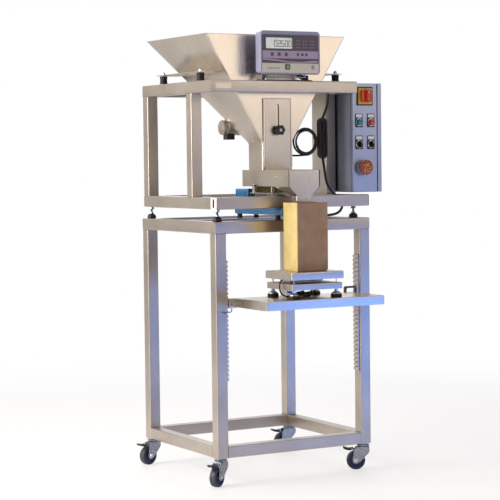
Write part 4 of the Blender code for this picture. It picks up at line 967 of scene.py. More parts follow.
def makeGate():
    low, high = span("hopper_gate")
    middle = (low.x + high.x) / 2
    bm = newMesh()
    slotHole = roundedRect(middle - 0.0045, gate["slot"][0], middle + 0.0045, gate["slot"][1], 0.0044, 6)
    addOutline(bm, roundedRect(low.x, low.z, high.x, high.z - 0.0006, 0.002, 3), 0.0024,
               flat(gate["face"]), 0.0005, 2, 0,
               (0, 0, 1), (slotHole,))
    addBlock(bm, (low.x, 0.0642, high.z - 0.0026), (high.x, 0.0728, high.z - 0.0002), 0.0009, 3, 0)
    finishPiece("hopperGate", bm, "gate", ("sheet",), ("hopper_gate",))

    x, z = middle, gate["knobZ"]
    bm = newMesh()
    lobes = []
    for i in range(72):
        a = math.tau * i / 72
        reach = gate["knobRadius"] + gate["lobe"] * math.cos(6 * a)
        lobes.append((reach * math.cos(a), reach * math.sin(a)))
    addOutline(bm, lobes, 0.0112, facing(x, 0.0548, z, (0, -1, 0)), 0.0022, 4, 0)
    addTurned(bm, [(0, 0.0140), (0.0050, 0.0140), (0.0062, 0.0130), (0.0068, 0.0115), (0, 0.0115)],
              facing(x, 0.0622, z, (0, -1, 0)), 28, 1)
    addTurned(bm, [(0, 0.0100), (0.0082, 0.0100), (0.0082, 0.0004), (0, 0.0004)],
              facing(x, 0.0693, z, (0, -1, 0)), 28, 1)
    addTurned(bm, [(0, 0.0065), (0.0030, 0.0065), (0.0030, 0), (0, 0)],
              facing(x, 0.0746, z, (0, -1, 0)), 18, 1)
    finishPiece("gateKnob", bm, "gate_clamp", ("black", "zinc"), ("gate_knob",))


vibrator = {"spot": (0.216, 0.267, 1.100), "radius": 0.027, "half": 0.0458}


def makeVibrator():
    x, y, z = vibrator["spot"]
    radius, half = vibrator["radius"], vibrator["half"]
    place = facing(x, y, z, (1, 0, 0))
    bm = newMesh()
    shell = [(0, -half), (0.0120, -half), (0.0140, -half + 0.0012), (0.0240, -half + 0.0016),
             (0.0258, -half + 0.0040),
             (0.0258, -0.0295), (radius - 0.0002, -0.0285)]
    for k in range(7):  # cooling ribs round the middle
        zr = -0.0265 + k * 0.0078
        shell += [(radius - 0.0002, zr), (radius - 0.0002, zr + 0.0030), (0.0250, zr + 0.0034),
                  (0.0250, zr + 0.0074)]
    shell += [(radius - 0.0002, 0.0285), (0.0258, 0.0295), (0.0258, half - 0.0040),
              (0.0240, half - 0.0016),
              (0.0140, half - 0.0012), (0.0120, half), (0, half)]
    addTurned(bm, shell, place, 56, 0)
    for out in (-1, 1):
        for k in range(4):
            a = math.tau * k / 4 + 0.5
            addScrew(bm, facing(x + out * 0.0441, y + 0.0185 * math.cos(a), z + 0.0185 * math.sin(a),
                                (out, 0, 0)), 0.0022, 1)
    run = (hopper["throat"][3] - hopper["rim"][3]) / (hopper["rimZ"] - hopper["bendZ"])
    lean = math.atan(-run)
    wallY = hopper["throat"][3] - run * (z - hopper["bendZ"])
    reach = (y - wallY) * math.cos(lean)
    turn = Matrix.Rotation(math.pi / 2 - lean, 4, "X")
    spot = Vector((x, y, z)) - Vector((0, math.cos(lean), -math.sin(lean))) * (reach - 0.0074)
    addBlock(bm, (-0.0298, -0.0218, -0.0068), (0.0298, 0.0218, 0.0066), 0.0020, 3, 0,
             place=Matrix.Translation(spot) @ turn)
    addBlock(bm, (0.1862, y - 0.0138, z - 0.0418), (0.2178, y + 0.0138, z - 0.0204), 0.0022, 3, 2)
    for dx in (-0.011, 0.011):
        addScrew(bm, facing(0.202 + dx, y + 0.0132, z - 0.0330, (0, 1, 0)), 0.0016, 1)
    finishPiece("hopperVibrator", bm, "machine", ("sheet", "zinc", "black"), ("hopper_vibrator",))


makeHopper()
makeGate()
makeVibrator()
print("hopper made")

# feeder
feeder = {"sheet": 0.0015, "bend": 0.003, "lean": 16}


def makeTrough():
    low, high = span("feeder_trough")
    sheet, r = feeder["sheet"], feeder["bend"]
    bm = newMesh()
    outer = ([(low.x, high.z)] + arc(low.x + r, low.z + r, r, 180, 270, 5)
             + arc(high.x - r, low.z + r, r, 270, 360, 5))
    outer += [(high.x, high.z)]
    inner = [(high.x - sheet, high.z)] + arc(high.x - r, low.z + r, r - sheet, 360, 270, 5)
    inner += arc(low.x + r, low.z + r, r - sheet, 270, 180, 5) + [(low.x + sheet, high.z)]
    length = high.y - 0.0004
    addOutline(bm, outer + inner, length, flat(length / 2 + 0.0002), 0.0003, 1, 0, (0, 1, 0))
    addBlock(bm, (low.x + 0.0008, high.y - 0.0022, low.z + 0.0008),
             (high.x - 0.0008, high.y - 0.0005, high.z), 0.0004)
    for x in (low.x, high.x - sheet):
        addBlock(bm, (x, low.y, low.z + 0.0001), (x + sheet, 0.0004, high.z), 0.0004, 2, 0, (0, 1, 0))
    for x, out in ((low.x, -1), (high.x, 1)):
        for y in (-0.0850, -0.0180):
            addScrew(bm, facing(x - out * 0.0008, y, 0.9300, (out, 0, 0)), 0.0030, 1)
    finishPiece("feederTrough", bm, "trough", ("sheet", "zinc"), ("feeder_trough",))

    low, high = span("discharge_spout")
    floorZ, taperZ, tipX, tipY = 0.897, 0.8665, (0.2535, 0.3130), (-0.100, -0.062)
    bm = newMesh()
    addOutline(bm, [(low.x, high.y)] + arc(low.x + r, low.y + r, r, 180, 270, 5)
               + arc(high.x - r, low.y + r, r, 270, 360, 5)
               + [(high.x, high.y), (high.x - sheet, high.y)]
               + arc(high.x - r, low.y + r, r - sheet, 360, 270, 5)
               + arc(low.x + r, low.y + r, r - sheet, 270, 180, 5) + [(low.x + sheet, high.y)],
               high.z - floorZ - 0.0006, Matrix.Translation((0, 0, (high.z + floorZ) / 2 - 0.0002)),
               0.0003, 1, 0, (0, 0, 1))
    addDuct(bm, [(low.x, low.y, high.x, high.y, floorZ + 0.0004, r),
                 (tipX[0], tipY[0], tipX[1], tipY[1], taperZ, r),
                 (tipX[0], tipY[0], tipX[1], tipY[1], low.z + 0.0003, r)], sheet)
    for x0, x1 in ((low.x, tipX[0]), (high.x, tipX[1])):
        inward = 0.0010 if x0 < x1 else -0.0010
        addBead(bm, (x0 + inward, low.y + 0.0014, floorZ - 0.001),
                (x1 + inward, low.y + 0.0014, taperZ + 0.001), 1)
    finishPiece("dischargeSpout", bm, "trough", ("bright", "weld"), ("discharge_spout",))


def makeCarrier():
    low, high = span("trough_carrier")
    middle = (low.x + high.x) / 2
    bm = newMesh()
    addBlock(bm, (low.x + 0.0001, 0.0422, 0.8712), (high.x - 0.0001, 0.1958, 0.8758), 0.0010, 3, 0,
             (0, 1, 0))
    for y0, y1 in ((0.050, 0.066), (0.170, 0.186)):
        addBlock(bm, (middle - 0.0298, y0, 0.8752), (middle + 0.0298, y1, high.z - 0.0002), 0.0010, 2, 3)
        for dx in (-0.018, 0.018):
            addHexBolt(bm, Matrix.Translation((middle + dx, (y0 + y1) / 2, 0.8712))
                       @ Matrix.Rotation(math.pi, 4, "X"), 0.008, 0.0035, 1)
    lean = math.radians(feeder["lean"])
    for topY in (0.070, 0.182):  # glass-fibre leaf springs, two leaves with a shim between them
        top, foot = Vector((middle, topY, 0.8706)), Vector((middle, topY - 0.0450 * math.tan(lean),
                                                            0.8262))
        run = foot - top
        turn = Matrix((Vector((1, 0, 0)), run.normalized(),
                       Vector((1, 0, 0)).cross(run.normalized()))).transposed().to_4x4()
        place = Matrix.Translation((top + foot) / 2) @ turn
        half = run.length / 2
        addBlock(bm, (-0.0290, -half + 0.0010, -0.0010), (0.0290, half - 0.0010, 0.0010), 0.0005, 2, 2,
                 place=place)
        for end in (-1, 1):
            addBlock(bm, (-0.0300, end * (half - 0.0055) - 0.0045, -0.0016),
                     (0.0300, end * (half - 0.0055) + 0.0045, 0.0016), 0.0007, 2, 0, place=place)
            for dx in (-0.017, 0.017):
                addHexBolt(bm, place @ Matrix.Translation((dx, end * (half - 0.0055), 0.0012)), 0.0065,
                           0.0022, 1, washer=False)
    finishPiece("troughCarrier", bm, "trough", ("sheet", "zinc", "black", "olive"), ("trough_carrier",))

    for side, out in (("left", -1), ("right", 1)):
        low, high = span("trough_latch_" + side)
        x, y = (low.x + high.x) / 2, (low.y + high.y) / 2
        bm = newMesh()
        hook = [(-0.0085, -0.0040), (0.0060, -0.0045), (0.0086, 0.0000), (0.0070, 0.0090),
                (0.0040, 0.0200), (0.0020, 0.0300),
                (-0.0020, 0.0306), (-0.0060, 0.0260), (-0.0070, 0.0120)]
        place = Matrix.Translation((x, y, 0.878)) @ Matrix.Rotation(math.pi / 2, 4,
                "Z") @ Matrix.Rotation(math.pi / 2, 4, "X")
        addOutline(bm, hook, min(0.0028, high.x - low.x - 0.0002), place, 0.0007, 3, 0)
        addTurned(bm, [(0, 0.0013), (0.0042, 0.0013), (0.0048, 0.0008), (0.0048, 0), (0, 0)],
                  facing(x, y, 0.878, (out, 0, 0)), 24, 1)
        addBlock(bm, (low.x + 0.0002, low.y + 0.0003, 0.8985),
                 (high.x - 0.0002, low.y + 0.0100, 0.9020), 0.0006, 2, 1)
        finishPiece("troughLatch" + side.title(), bm, "latch_" + side, ("chrome", "olive"),
                    ("trough_latch_" + side,))


drive = {"corner": 0.004, "fins": 6, "gland": (0.066, 0.8125)}


def makeDrive():
    low, high = span("drive_base")
    bm = newMesh()
    addBlock(bm, (low.x, low.y, 0.8012), (high.x, high.y, 0.8205), drive["corner"], 4, 0)
    addBlock(bm, (low.x + 0.004, low.y + 0.004, 0.8190), (high.x - 0.004, high.y - 0.004, 0.8238),
             0.0016, 3, 0)
    addBlock(bm, (low.x + 0.002, 0.2068, 0.8200), (high.x - 0.002, 0.2974, high.z - 0.0004), 0.005, 4, 0)
    for k in range(drive["fins"]):
        y = 0.2150 + k * 0.0140
        addBlock(bm, (low.x + 0.0004, y, 0.832), (high.x - 0.0004, y + 0.0035, high.z - 0.010), 0.0008,
                 2, 0)
    addBlock(bm, (low.x + 0.020, 0.0900, 0.8230), (high.x - 0.020, 0.1400, 0.8238), 0.0003, 1, 2)
    for x in (low.x + 0.012, high.x - 0.012):
        for y in (low.y + 0.014, 0.088, 0.188):
            addHexBolt(bm, Matrix.Translation((x, y, 0.8205)), 0.007, 0.0030, 1)
    for x, y in ((0.250, 0.020), (0.316, 0.020), (0.250, 0.282), (0.316, 0.282)):
        place = Matrix.Translation((x, y, low.z))
        addTurned(bm, [(0, 0.0170), (0.0088, 0.0170), (0.0094, 0.0150), (0.0082, 0.0088),
                       (0.0094, 0.0025), (0.0098, 0.0010),
                       (0.0090, 0.0001), (0, 0.0001)], place, 28, 2)
        addTurned(bm, [(0, 0.0178), (0.0096, 0.0178), (0.0096, 0.0164), (0, 0.0164)], place, 28, 1)
    # the gland that the control cable goes into
    addTurned(bm, [(0, -0.001), (0.0085, -0.001), (0.0085, -0.0052), (0, -0.0052)],
              facing(high.x + 0.0006, *drive["gland"], (1, 0, 0)), 6, 2)
    finishPiece("driveBase", bm, "machine", ("blue", "zinc", "rubber"), ("drive_base",))


makeTrough()
makeCarrier()
makeDrive()
print("feeder made")

# indicator
indicator = {"corner": 0.013, "lcd": (0.1960, 1.3570, 0.2975, 1.3930),
             "keys": (0.220, 0.247, 0.274, 0.3195, 0.337, 0.353)}


def addDigit(bm, x, z, tall, lit, slot):  # one seven segment figure facing the operator
    wide, thick, y0, y1 = tall * 0.5, tall * 0.085, -0.0060, -0.0055
    bars = {"top": (0, tall, wide, tall), "middle": (0, tall / 2, wide, tall / 2),
            "low": (0, 0, wide, 0),
            "upLeft": (0, tall / 2, 0, tall), "upRight": (wide, tall / 2, wide, tall),
            "downLeft": (0, 0, 0, tall / 2),
            "downRight": (wide, 0, wide, tall / 2)}
    for key in lit:
        x0, z0, x1, z1 = bars[key]
        addBlock(bm, (x + x0 - thick / 2, y0, z + z0 - thick / 2),
                 (x + x1 + thick / 2, y1, z + z1 + thick / 2), 0, 1, slot)


def makeIndicator():
    low, high = span("indicator_case")
    z0 = 1.272
    bm = newMesh()
    outer = roundedRect(low.x, z0, high.x, high.z, indicator["corner"], 8)
    addOutline(bm, outer, 0.0100, flat(0.0012), 0.0030, 4, 0)
    addOutline(bm, roundedRect(low.x + 0.003, z0 + 0.003, high.x - 0.003, high.z - 0.003, 0.011, 8),
               0.0326,
               flat(0.0215), 0.0040, 4, 0)
    skin = -0.0044
    films = ((roundedRect(low.x + 0.0050, 1.3090, high.x - 0.0075, high.z - 0.0130, 0.006, 5), 1),
             (roundedRect(low.x + 0.0070, 1.3245, high.x - 0.0095, 1.3500, 0.003, 4), 2),
             (roundedRect(low.x + 0.0050, 1.2770, high.x - 0.0075, 1.3085, 0.005, 5), 3))
    for k, (points, slot) in enumerate(films):
        addOutline(bm, points, 0.0008, flat(skin - 0.00015 * k), 0.0002, 1, slot)
    swoosh = [(low.x + 0.008, 1.3238), (0.230, 1.3215), (0.280, 1.3150), (0.330, 1.3135),
              (0.396, 1.3190), (0.396, 1.3110),
              (0.330, 1.3095), (0.280, 1.3110), (0.230, 1.3165), (low.x + 0.008, 1.3190)]
    addOutline(bm, swoosh, 0.0006, flat(skin - 0.0006), 0.0001, 1, 2)
    for row in range(3):  # little pointers to the operating states, beside the display
        for column in range(3):
            px, pz = 0.3150 + column * 0.0270, 1.3620 + row * 0.0110
            addOutline(bm, [(px, pz - 0.0022), (px + 0.0040, pz), (px, pz + 0.0022)], 0.0005,
                       flat(skin - 0.0005), 0, 1, 0)
            addBlock(bm, (px + 0.0060, skin - 0.0007, pz - 0.0006),
                     (px + 0.0150, skin - 0.0003, pz + 0.0006), 0, 1, 0)
    x0, lz0, x1, lz1 = indicator["lcd"]
    addOutline(bm, roundedRect(x0 - 0.004, lz0 - 0.0035, x1 + 0.004, lz1 + 0.003, 0.003, 4), 0.0006,
               flat(skin - 0.0006), 0.0002, 1, 4)
    addOutline(bm, roundedRect(x0, lz0, x1, lz1, 0.0015, 3), 0.0006, flat(skin - 0.0009), 0.0002, 1, 5)
    figures = {"0": ("top", "low", "upLeft", "upRight", "downLeft", "downRight"),
               "2": ("top", "upRight", "middle", "downLeft", "low"),
               "5": ("top", "upLeft", "middle", "downRight", "low")}
    for k, shown in enumerate("02500"):
        addDigit(bm, 0.2290 + k * 0.0138, 1.3640, 0.0190, figures[shown], 4)
    addBlock(bm, (0.2530, -0.0060, 1.3628), (0.2548, -0.0055, 1.3646), 0, 1, 4)
    for x in indicator["keys"]:
        size = 0.0058 if x < 0.3 else 0.0048
        addOutline(bm, roundedRect(x - size, 1.3380 - size, x + size, 1.3380 + size, 0.0018, 4), 0.0010,
                   flat(skin - 0.0007), 0.0003, 2, 1)
    addTurned(bm, [(0, 0.0008), (0.0064, 0.0008), (0.0074, 0.0003), (0.0074, -0.0004), (0, -0.0004)],
              facing(0.3780, skin - 0.0006, 1.2960, (0, -1, 0)), 40, 2)
    addTurned(bm, [(0.0046, 0.0012), (0.0052, 0.0012), (0.0052, 0.0006), (0.0046, 0.0006)],
              facing(0.3780, skin - 0.0004, 1.2960, (0, -1, 0)), 40, 0)
    addBlock(bm, (0.2010, skin - 0.0010, 1.2900), (0.2500, skin - 0.0002, 1.2935), 0.0003, 1, 0)
    addBlock(bm, (0.2680, skin - 0.0006, 1.2862), (0.2900, skin + 0.0002, 1.3070), 0.0006, 2, 4)
    for side in (0, 1):  # the lower ears that it pivots on
        ear = (0.2152, 0.2208) if side == 0 else (0.3642, 0.3698)
        addBlock(bm, (ear[0], 0.0282, 1.2666), (ear[1], 0.0358, 1.2735), 0.0008, 2, 0)
    for x in (low.x + 0.016, high.x - 0.016):
        for z in (z0 + 0.016, high.z - 0.016):
            addScrew(bm, facing(x, 0.0372, z, (0, 1, 0)) @ Matrix.Translation((0, 0, -0.0007)), 0.0026,
                     6)
    for k in range(6):  # louvres in the back
        addBlock(bm, (0.250, 0.0370, 1.300 + k * 0.007), (0.335, 0.0379, 1.3025 + k * 0.007), 0.0004, 1,
                 4)
    finishPiece("indicatorCase", bm, "indicator",
                ("casing", "plum", "lilac", "cream", "gloss", "lcd", "zinc"), ("indicator_case",))

    low, high = span("indicator_key")
    bm = newMesh()
    addOutline(bm, roundedRect(low.x, low.z, high.x, high.z, 0.0030, 5), high.y - low.y,
               flat((low.y + high.y) / 2), 0.0008, 3, 0)
    addTurned(bm, [(0.0040, 0.0003), (0.0052, 0.0003), (0.0052, -0.0002), (0.0040, -0.0002)],
              facing((low.x + high.x) / 2, low.y + 0.0002, (low.z + high.z) / 2, (0, -1, 0)), 32, 1)
    finishPiece("indicatorKey", bm, "indicator_button", ("green", "label"), ("indicator_key",))

    bm = newMesh()
    addBlock(bm, (0.1902, 0.0242, 1.2530), (0.3948, 0.0558, 1.2553), 0.0008, 2, 0)
    for x in (0.2052, 0.3742):
        addOutline(bm, [(-0.0070, -0.0130), (0.0070, -0.0130)] + arc(0, -0.0030, 0.0070, 0, 180, 9),
                   0.0044,
                   Matrix.Translation((x + 0.0025, 0.032, 1.2674)) @ Matrix.Rotation(math.pi / 2, 4, "Z")
                   @ Matrix.Rotation(math.pi / 2, 4, "X"), 0.0007, 2, 0)
    addWire(bm, [(0.2040, 0.032, 1.264), (0.3805, 0.032, 1.264)], 0.0024, 16, 1)
    for x, out in ((0.2046, -1), (0.3800, 1)):
        addHexBolt(bm, facing(x, 0.032, 1.264, (out, 0, 0)) @ Matrix.Translation((0, 0, -0.0030)),
                   0.0075, 0.0026, 1, washer=False)
    for x in (0.225, 0.3600):
        addHexBolt(bm, Matrix.Translation((x, 0.0480, 1.2553)), 0.0080, 0.0034, 1)
    finishPiece("indicatorBracket", bm, "machine", ("bronzed", "zinc"), ("indicator_bracket",))


# switch cabinet
cabinet = {"bend": 0.0025, "sheet": 0.0015, "ringSpots": (0.6010, 0.6495), "buttonZ": 1.1135,
           "selectorZ": 1.0375,
           "mainSwitch": (0.625, 1.204), "stop": (0.618, 0.957), "lock": (0.5850, 0.9900)}


def makeCabinet():
    low, high = span("cabinet_body")
    z0, z1 = low.z, high.z
    bm = newMesh()
    # four folded walls and a back, open at the front behind the door
    wall, r = cabinet["sheet"], cabinet["bend"]
    loop = roundedRect(0.5752, z0, 0.6948, z1, r, 4)
    inner = roundedRect(0.5752 + wall, z0 + wall, 0.6948 - wall, z1 - wall, r - wall * 0.6, 4)
    addOutline(bm, loop, 0.1806, flat(0.1597), 0.0, 1, 0, (0, 0, 1), (inner,))
    addBlock(bm, (0.5756, high.y - 0.0016, z0 + 0.0004), (0.6944, high.y - 0.0001, z1 - 0.0004), 0.0004,
             1, 0, (0, 0, 1))
    addBlock(bm, (0.6785, 0.0562, z0 + 0.0002), (0.6947, 0.0712, z1 - 0.0002), 0.0016, 3, 0, (0, 0, 1))
    addBlock(bm, (0.5800, 0.2300, z0 + 0.006), (0.6900, 0.2330, z1 - 0.006), 0.0005, 1, 1, (0, 0, 1))
    for z in (0.925, 1.010, 1.120):  # contactors and terminals on the plate inside
        addBlock(bm, (0.590, 0.170, z), (0.6500, 0.2302, z + 0.045), 0.0020, 2, 2)
        for x in (0.598, 0.612, 0.626, 0.640):
            addScrew(bm, facing(x, 0.1702, z + 0.035, (0, -1, 0)), 0.0025, 1)
    for z in (0.905, 1.060, 1.215):  # bolts to the frame's wide post, from inside
        addHexBolt(bm, facing(0.5772, 0.120, z, (1, 0, 0)), 0.010, 0.004, 1)
    for z in (z0 + 0.012, z1 - 0.014):  # door hinge knuckles
        addTurned(bm, [(0, 0.0070), (0.0011, 0.0070), (0.0014, 0.0064), (0.0014, -0.0064),
                       (0.0011, -0.0070), (0, -0.0070)],
                  Matrix.Translation((0.6783, 0.0578, z)), 16, 2)
    finishPiece("cabinetBody", bm, "machine", ("cabinet", "zinc", "black"), ("cabinet_body",))

    low, high = span("cabinet_door")
    dz0, dz1 = 0.8732, 1.2468
    bm = newMesh()
    loop = roundedRect(0.5757, dz0, 0.6753, dz1, 0.0022, 4)
    addOutline(bm, loop, 0.0022, flat(0.0572), 0.0009, 3, 0, (0, 0, 1))
    addOutline(bm, loop, 0.0100, flat(0.0628), 0.0004, 1, 0, (0, 0, 1),
               (roundedRect(0.5773, dz0 + 0.0016, 0.6737, dz1 - 0.0016, 0.0012, 4),))
    addOutline(bm, roundedRect(0.5790, dz0 + 0.0034, 0.6720, dz1 - 0.0034, 0.002, 3), 0.0020,
               flat(0.0668), 0.0005, 1, 2,
               (0, 0, 1), (roundedRect(0.5830, dz0 + 0.0074, 0.6680, dz1 - 0.0074, 0.002, 3),))
    # the main switch's yellow plate on a wider black plate, whose rim stands in for the shadow round its
    # border as painted shadow
    cx, cz = cabinet["mainSwitch"]
    addOutline(bm, roundedRect(cx - 0.0324, cz - 0.0324, cx + 0.0324, cz + 0.0324, 0.0035, 5), 0.0034,
               flat(0.0544), 0.0010, 3, 2)
    addOutline(bm, roundedRect(cx - 0.0280, cz - 0.0280, cx + 0.0280, cz + 0.0280, 0.0025, 5), 0.0022,
               flat(0.0518), 0.0006, 2, 3)
    for k in range(2):  # index marks at off and on
        a = math.pi / 2 * k
        acrossX, acrossZ = 0.0262 * math.cos(a + math.pi / 2), 0.0262 * math.sin(a + math.pi / 2)
        addBlock(bm, (cx - 0.0010 + acrossX, 0.0502, cz - 0.0010 + acrossZ),
                 (cx + 0.0010 + acrossX, 0.0508, cz + 0.0010 + acrossZ), 0, 1, 2)
    for x in cabinet["ringSpots"]:
        for z, ring in ((cabinet["buttonZ"], 0.0138), (cabinet["selectorZ"], 0.0140)):
            addOutline(bm, roundedRect(x - 0.0149, z - 0.0172, x + 0.0149, z + 0.0300, 0.0025, 4),
                       0.0019, flat(0.05515), 0.0006, 2, 2)
            addBlock(bm, (x - 0.0125, 0.0540, z + 0.0165), (x + 0.0125, 0.0545, z + 0.0275), 0.0003, 1,
                     4)
            addTurned(bm, [(0.0116, -0.0005), (0.0116, 0.0026), (0.0122, 0.0032), (0.0130, 0.0032),
                           (ring, 0.0022), (ring, -0.0005)],
                      facing(x, 0.0538, z, (0, -1, 0)), 44, 5)
    x, z = cabinet["stop"]
    addTurned(bm, [(0.0098, -0.0018), (0.0098, 0.0008), (0.0215, 0.0008), (0.0255, 0.0004),
                   (0.0262, -0.0002), (0.0262, -0.0018)],
              facing(x, 0.0542, z, (0, -1, 0)), 56, 6)
    addTurned(bm, [(0.0098, -0.0005), (0.0098, 0.0040), (0.0128, 0.0040), (0.0140, 0.0028),
                   (0.0140, -0.0005)],
              facing(x, 0.0540, z, (0, -1, 0)), 40, 2)
    for z in (dz0 + 0.012, dz1 - 0.014):
        addTurned(bm, [(0, 0.0060), (0.0009, 0.0060), (0.0009, -0.0060), (0, -0.0060)],
                  Matrix.Translation((0.6748, 0.0582, z)), 16, 2)
    lockX, lockZ = cabinet["lock"]
    addTurned(bm, [(0, 0.0003), (0.0042, 0.0003), (0.0058, 0.0002), (0.0062, -0.0004), (0, -0.0004)],
              facing(lockX, 0.0562, lockZ, (0, -1, 0)), 28, 0)
    finishPiece("cabinetDoor", bm, "door", ("cabinet", "zinc", "black", "yellow", "label", "chrome",
                                            "casing"), ("cabinet_door",))

    bm = newMesh()
    half = 0.0220
    addOutline(bm, roundedRect(cx - half, cz - half, cx + half, cz + half, 0.009, 7), 0.0104,
               flat(0.0440), 0.0026, 4, 0)
    gripLow = span("main_switch_knob")[0]
    addBlock(bm, (cx - 0.0066, gripLow.y + 0.0002, cz - half + 0.0015),
             (cx + 0.0066, 0.0400, cz + half - 0.0015), 0.0030, 4, 0)
    addBlock(bm, (cx - 0.0009, gripLow.y + 0.0001, cz + 0.0090),
             (cx + 0.0009, gripLow.y + 0.0006, cz + 0.0180), 0.0002, 1, 1)
    finishPiece("mainSwitchKnob", bm, "main_switch", ("red", "label"), ("main_switch_knob",))

    for name, x, key in zip(("start_button", "stop_button"), cabinet["ringSpots"], ("teal", "stopRed")):
        low, high = span(name)
        bm = newMesh()
        addTurned(bm, [(0, 0.0069), (0.0060, 0.0071), (0.0088, 0.0073), (0.0100, 0.0066),
                       (0.0104, 0.0048), (0.0104, 0.0002), (0, 0.0002)],
                  facing(x, high.y, (low.z + high.z) / 2, (0, -1, 0)), 44, 0)
        finishPiece(name.split("_")[0] + "Button", bm, name + "_cap", (key,), (name,))
    for side, x in zip(("left", "right"), cabinet["ringSpots"]):
        low, high = span("selector_" + side)
        z = (low.z + high.z) / 2
        bm = newMesh()
        addTurned(bm, [(0, 0.0074), (0.0098, 0.0074), (0.0109, 0.0064), (0.0111, 0.0002), (0, 0.0002)],
                  facing(x, high.y, z, (0, -1, 0)), 44, 0)
        addBlock(bm, (x - 0.0034, low.y + 0.0002, z - 0.0104),
                 (x + 0.0034, high.y - 0.0060, z + 0.0104), 0.0016, 3, 0)
        addBlock(bm, (x - 0.0007, low.y + 0.0001, z + 0.0030), (x + 0.0007, low.y + 0.0006, z + 0.0098),
                 0.0001, 1, 1)
        finishPiece("selector" + side.title(), bm, "selector_" + side + "_dial", ("gloss", "label"),
                    ("selector_" + side,))
    low, high = span("emergency_stop")
    place = facing((low.x + high.x) / 2, high.y, (low.z + high.z) / 2, (0, -1, 0))
    tall = high.y - low.y
    bm = newMesh()
    addTurned(bm, [(0, tall - 0.0002), (0.0100, tall - 0.0006), (0.0180, tall - 0.0024),
                   (0.0238, tall - 0.0056), (0.0262, tall - 0.0088),
                   (0.0262, tall - 0.0108), (0.0235, tall - 0.0124), (0.0160, tall - 0.0130),
                   (0.0094, tall - 0.0138), (0.0093, 0.0002), (0, 0.0002)],
              place, 64, 0)
    for k in range(5):  # raised curves that show which way it twists free, coloured paler amber as painted highlights
        route = []
        for i in range(14):
            t = i / 13
            r, a = 0.0035 + 0.0170 * t, math.tau * k / 5 + 1.9 * t
            route.append(place @ Vector((r * math.cos(a), r * math.sin(a),
                                         tall - 0.0003 - 0.0054 * (r / 0.0238) ** 3)))
        addWire(bm, route, lambda t: 0.0006 + 0.0013 * math.sin(math.pi * min(1, t * 0.9 + 0.05)), 8, 1)
    finishPiece("emergencyStop", bm, "stop_mushroom", ("amber", "amberPaintedHighlight"), ("emergency_stop",))


makeIndicator()
makeCabinet()
print("indicator and cabinet made")

# cables
cables = {"control": 0.0044, "vibrator": 0.0033, "scale": 0.0024, "hank": (0.497, 0.130, 1.060),
          "coil": (0.428, 0.130, 1.048), "coilRadius": 0.046}


def around(count):  # angles of a closed ring's points
    return [math.tau * k / count for k in range(count)]



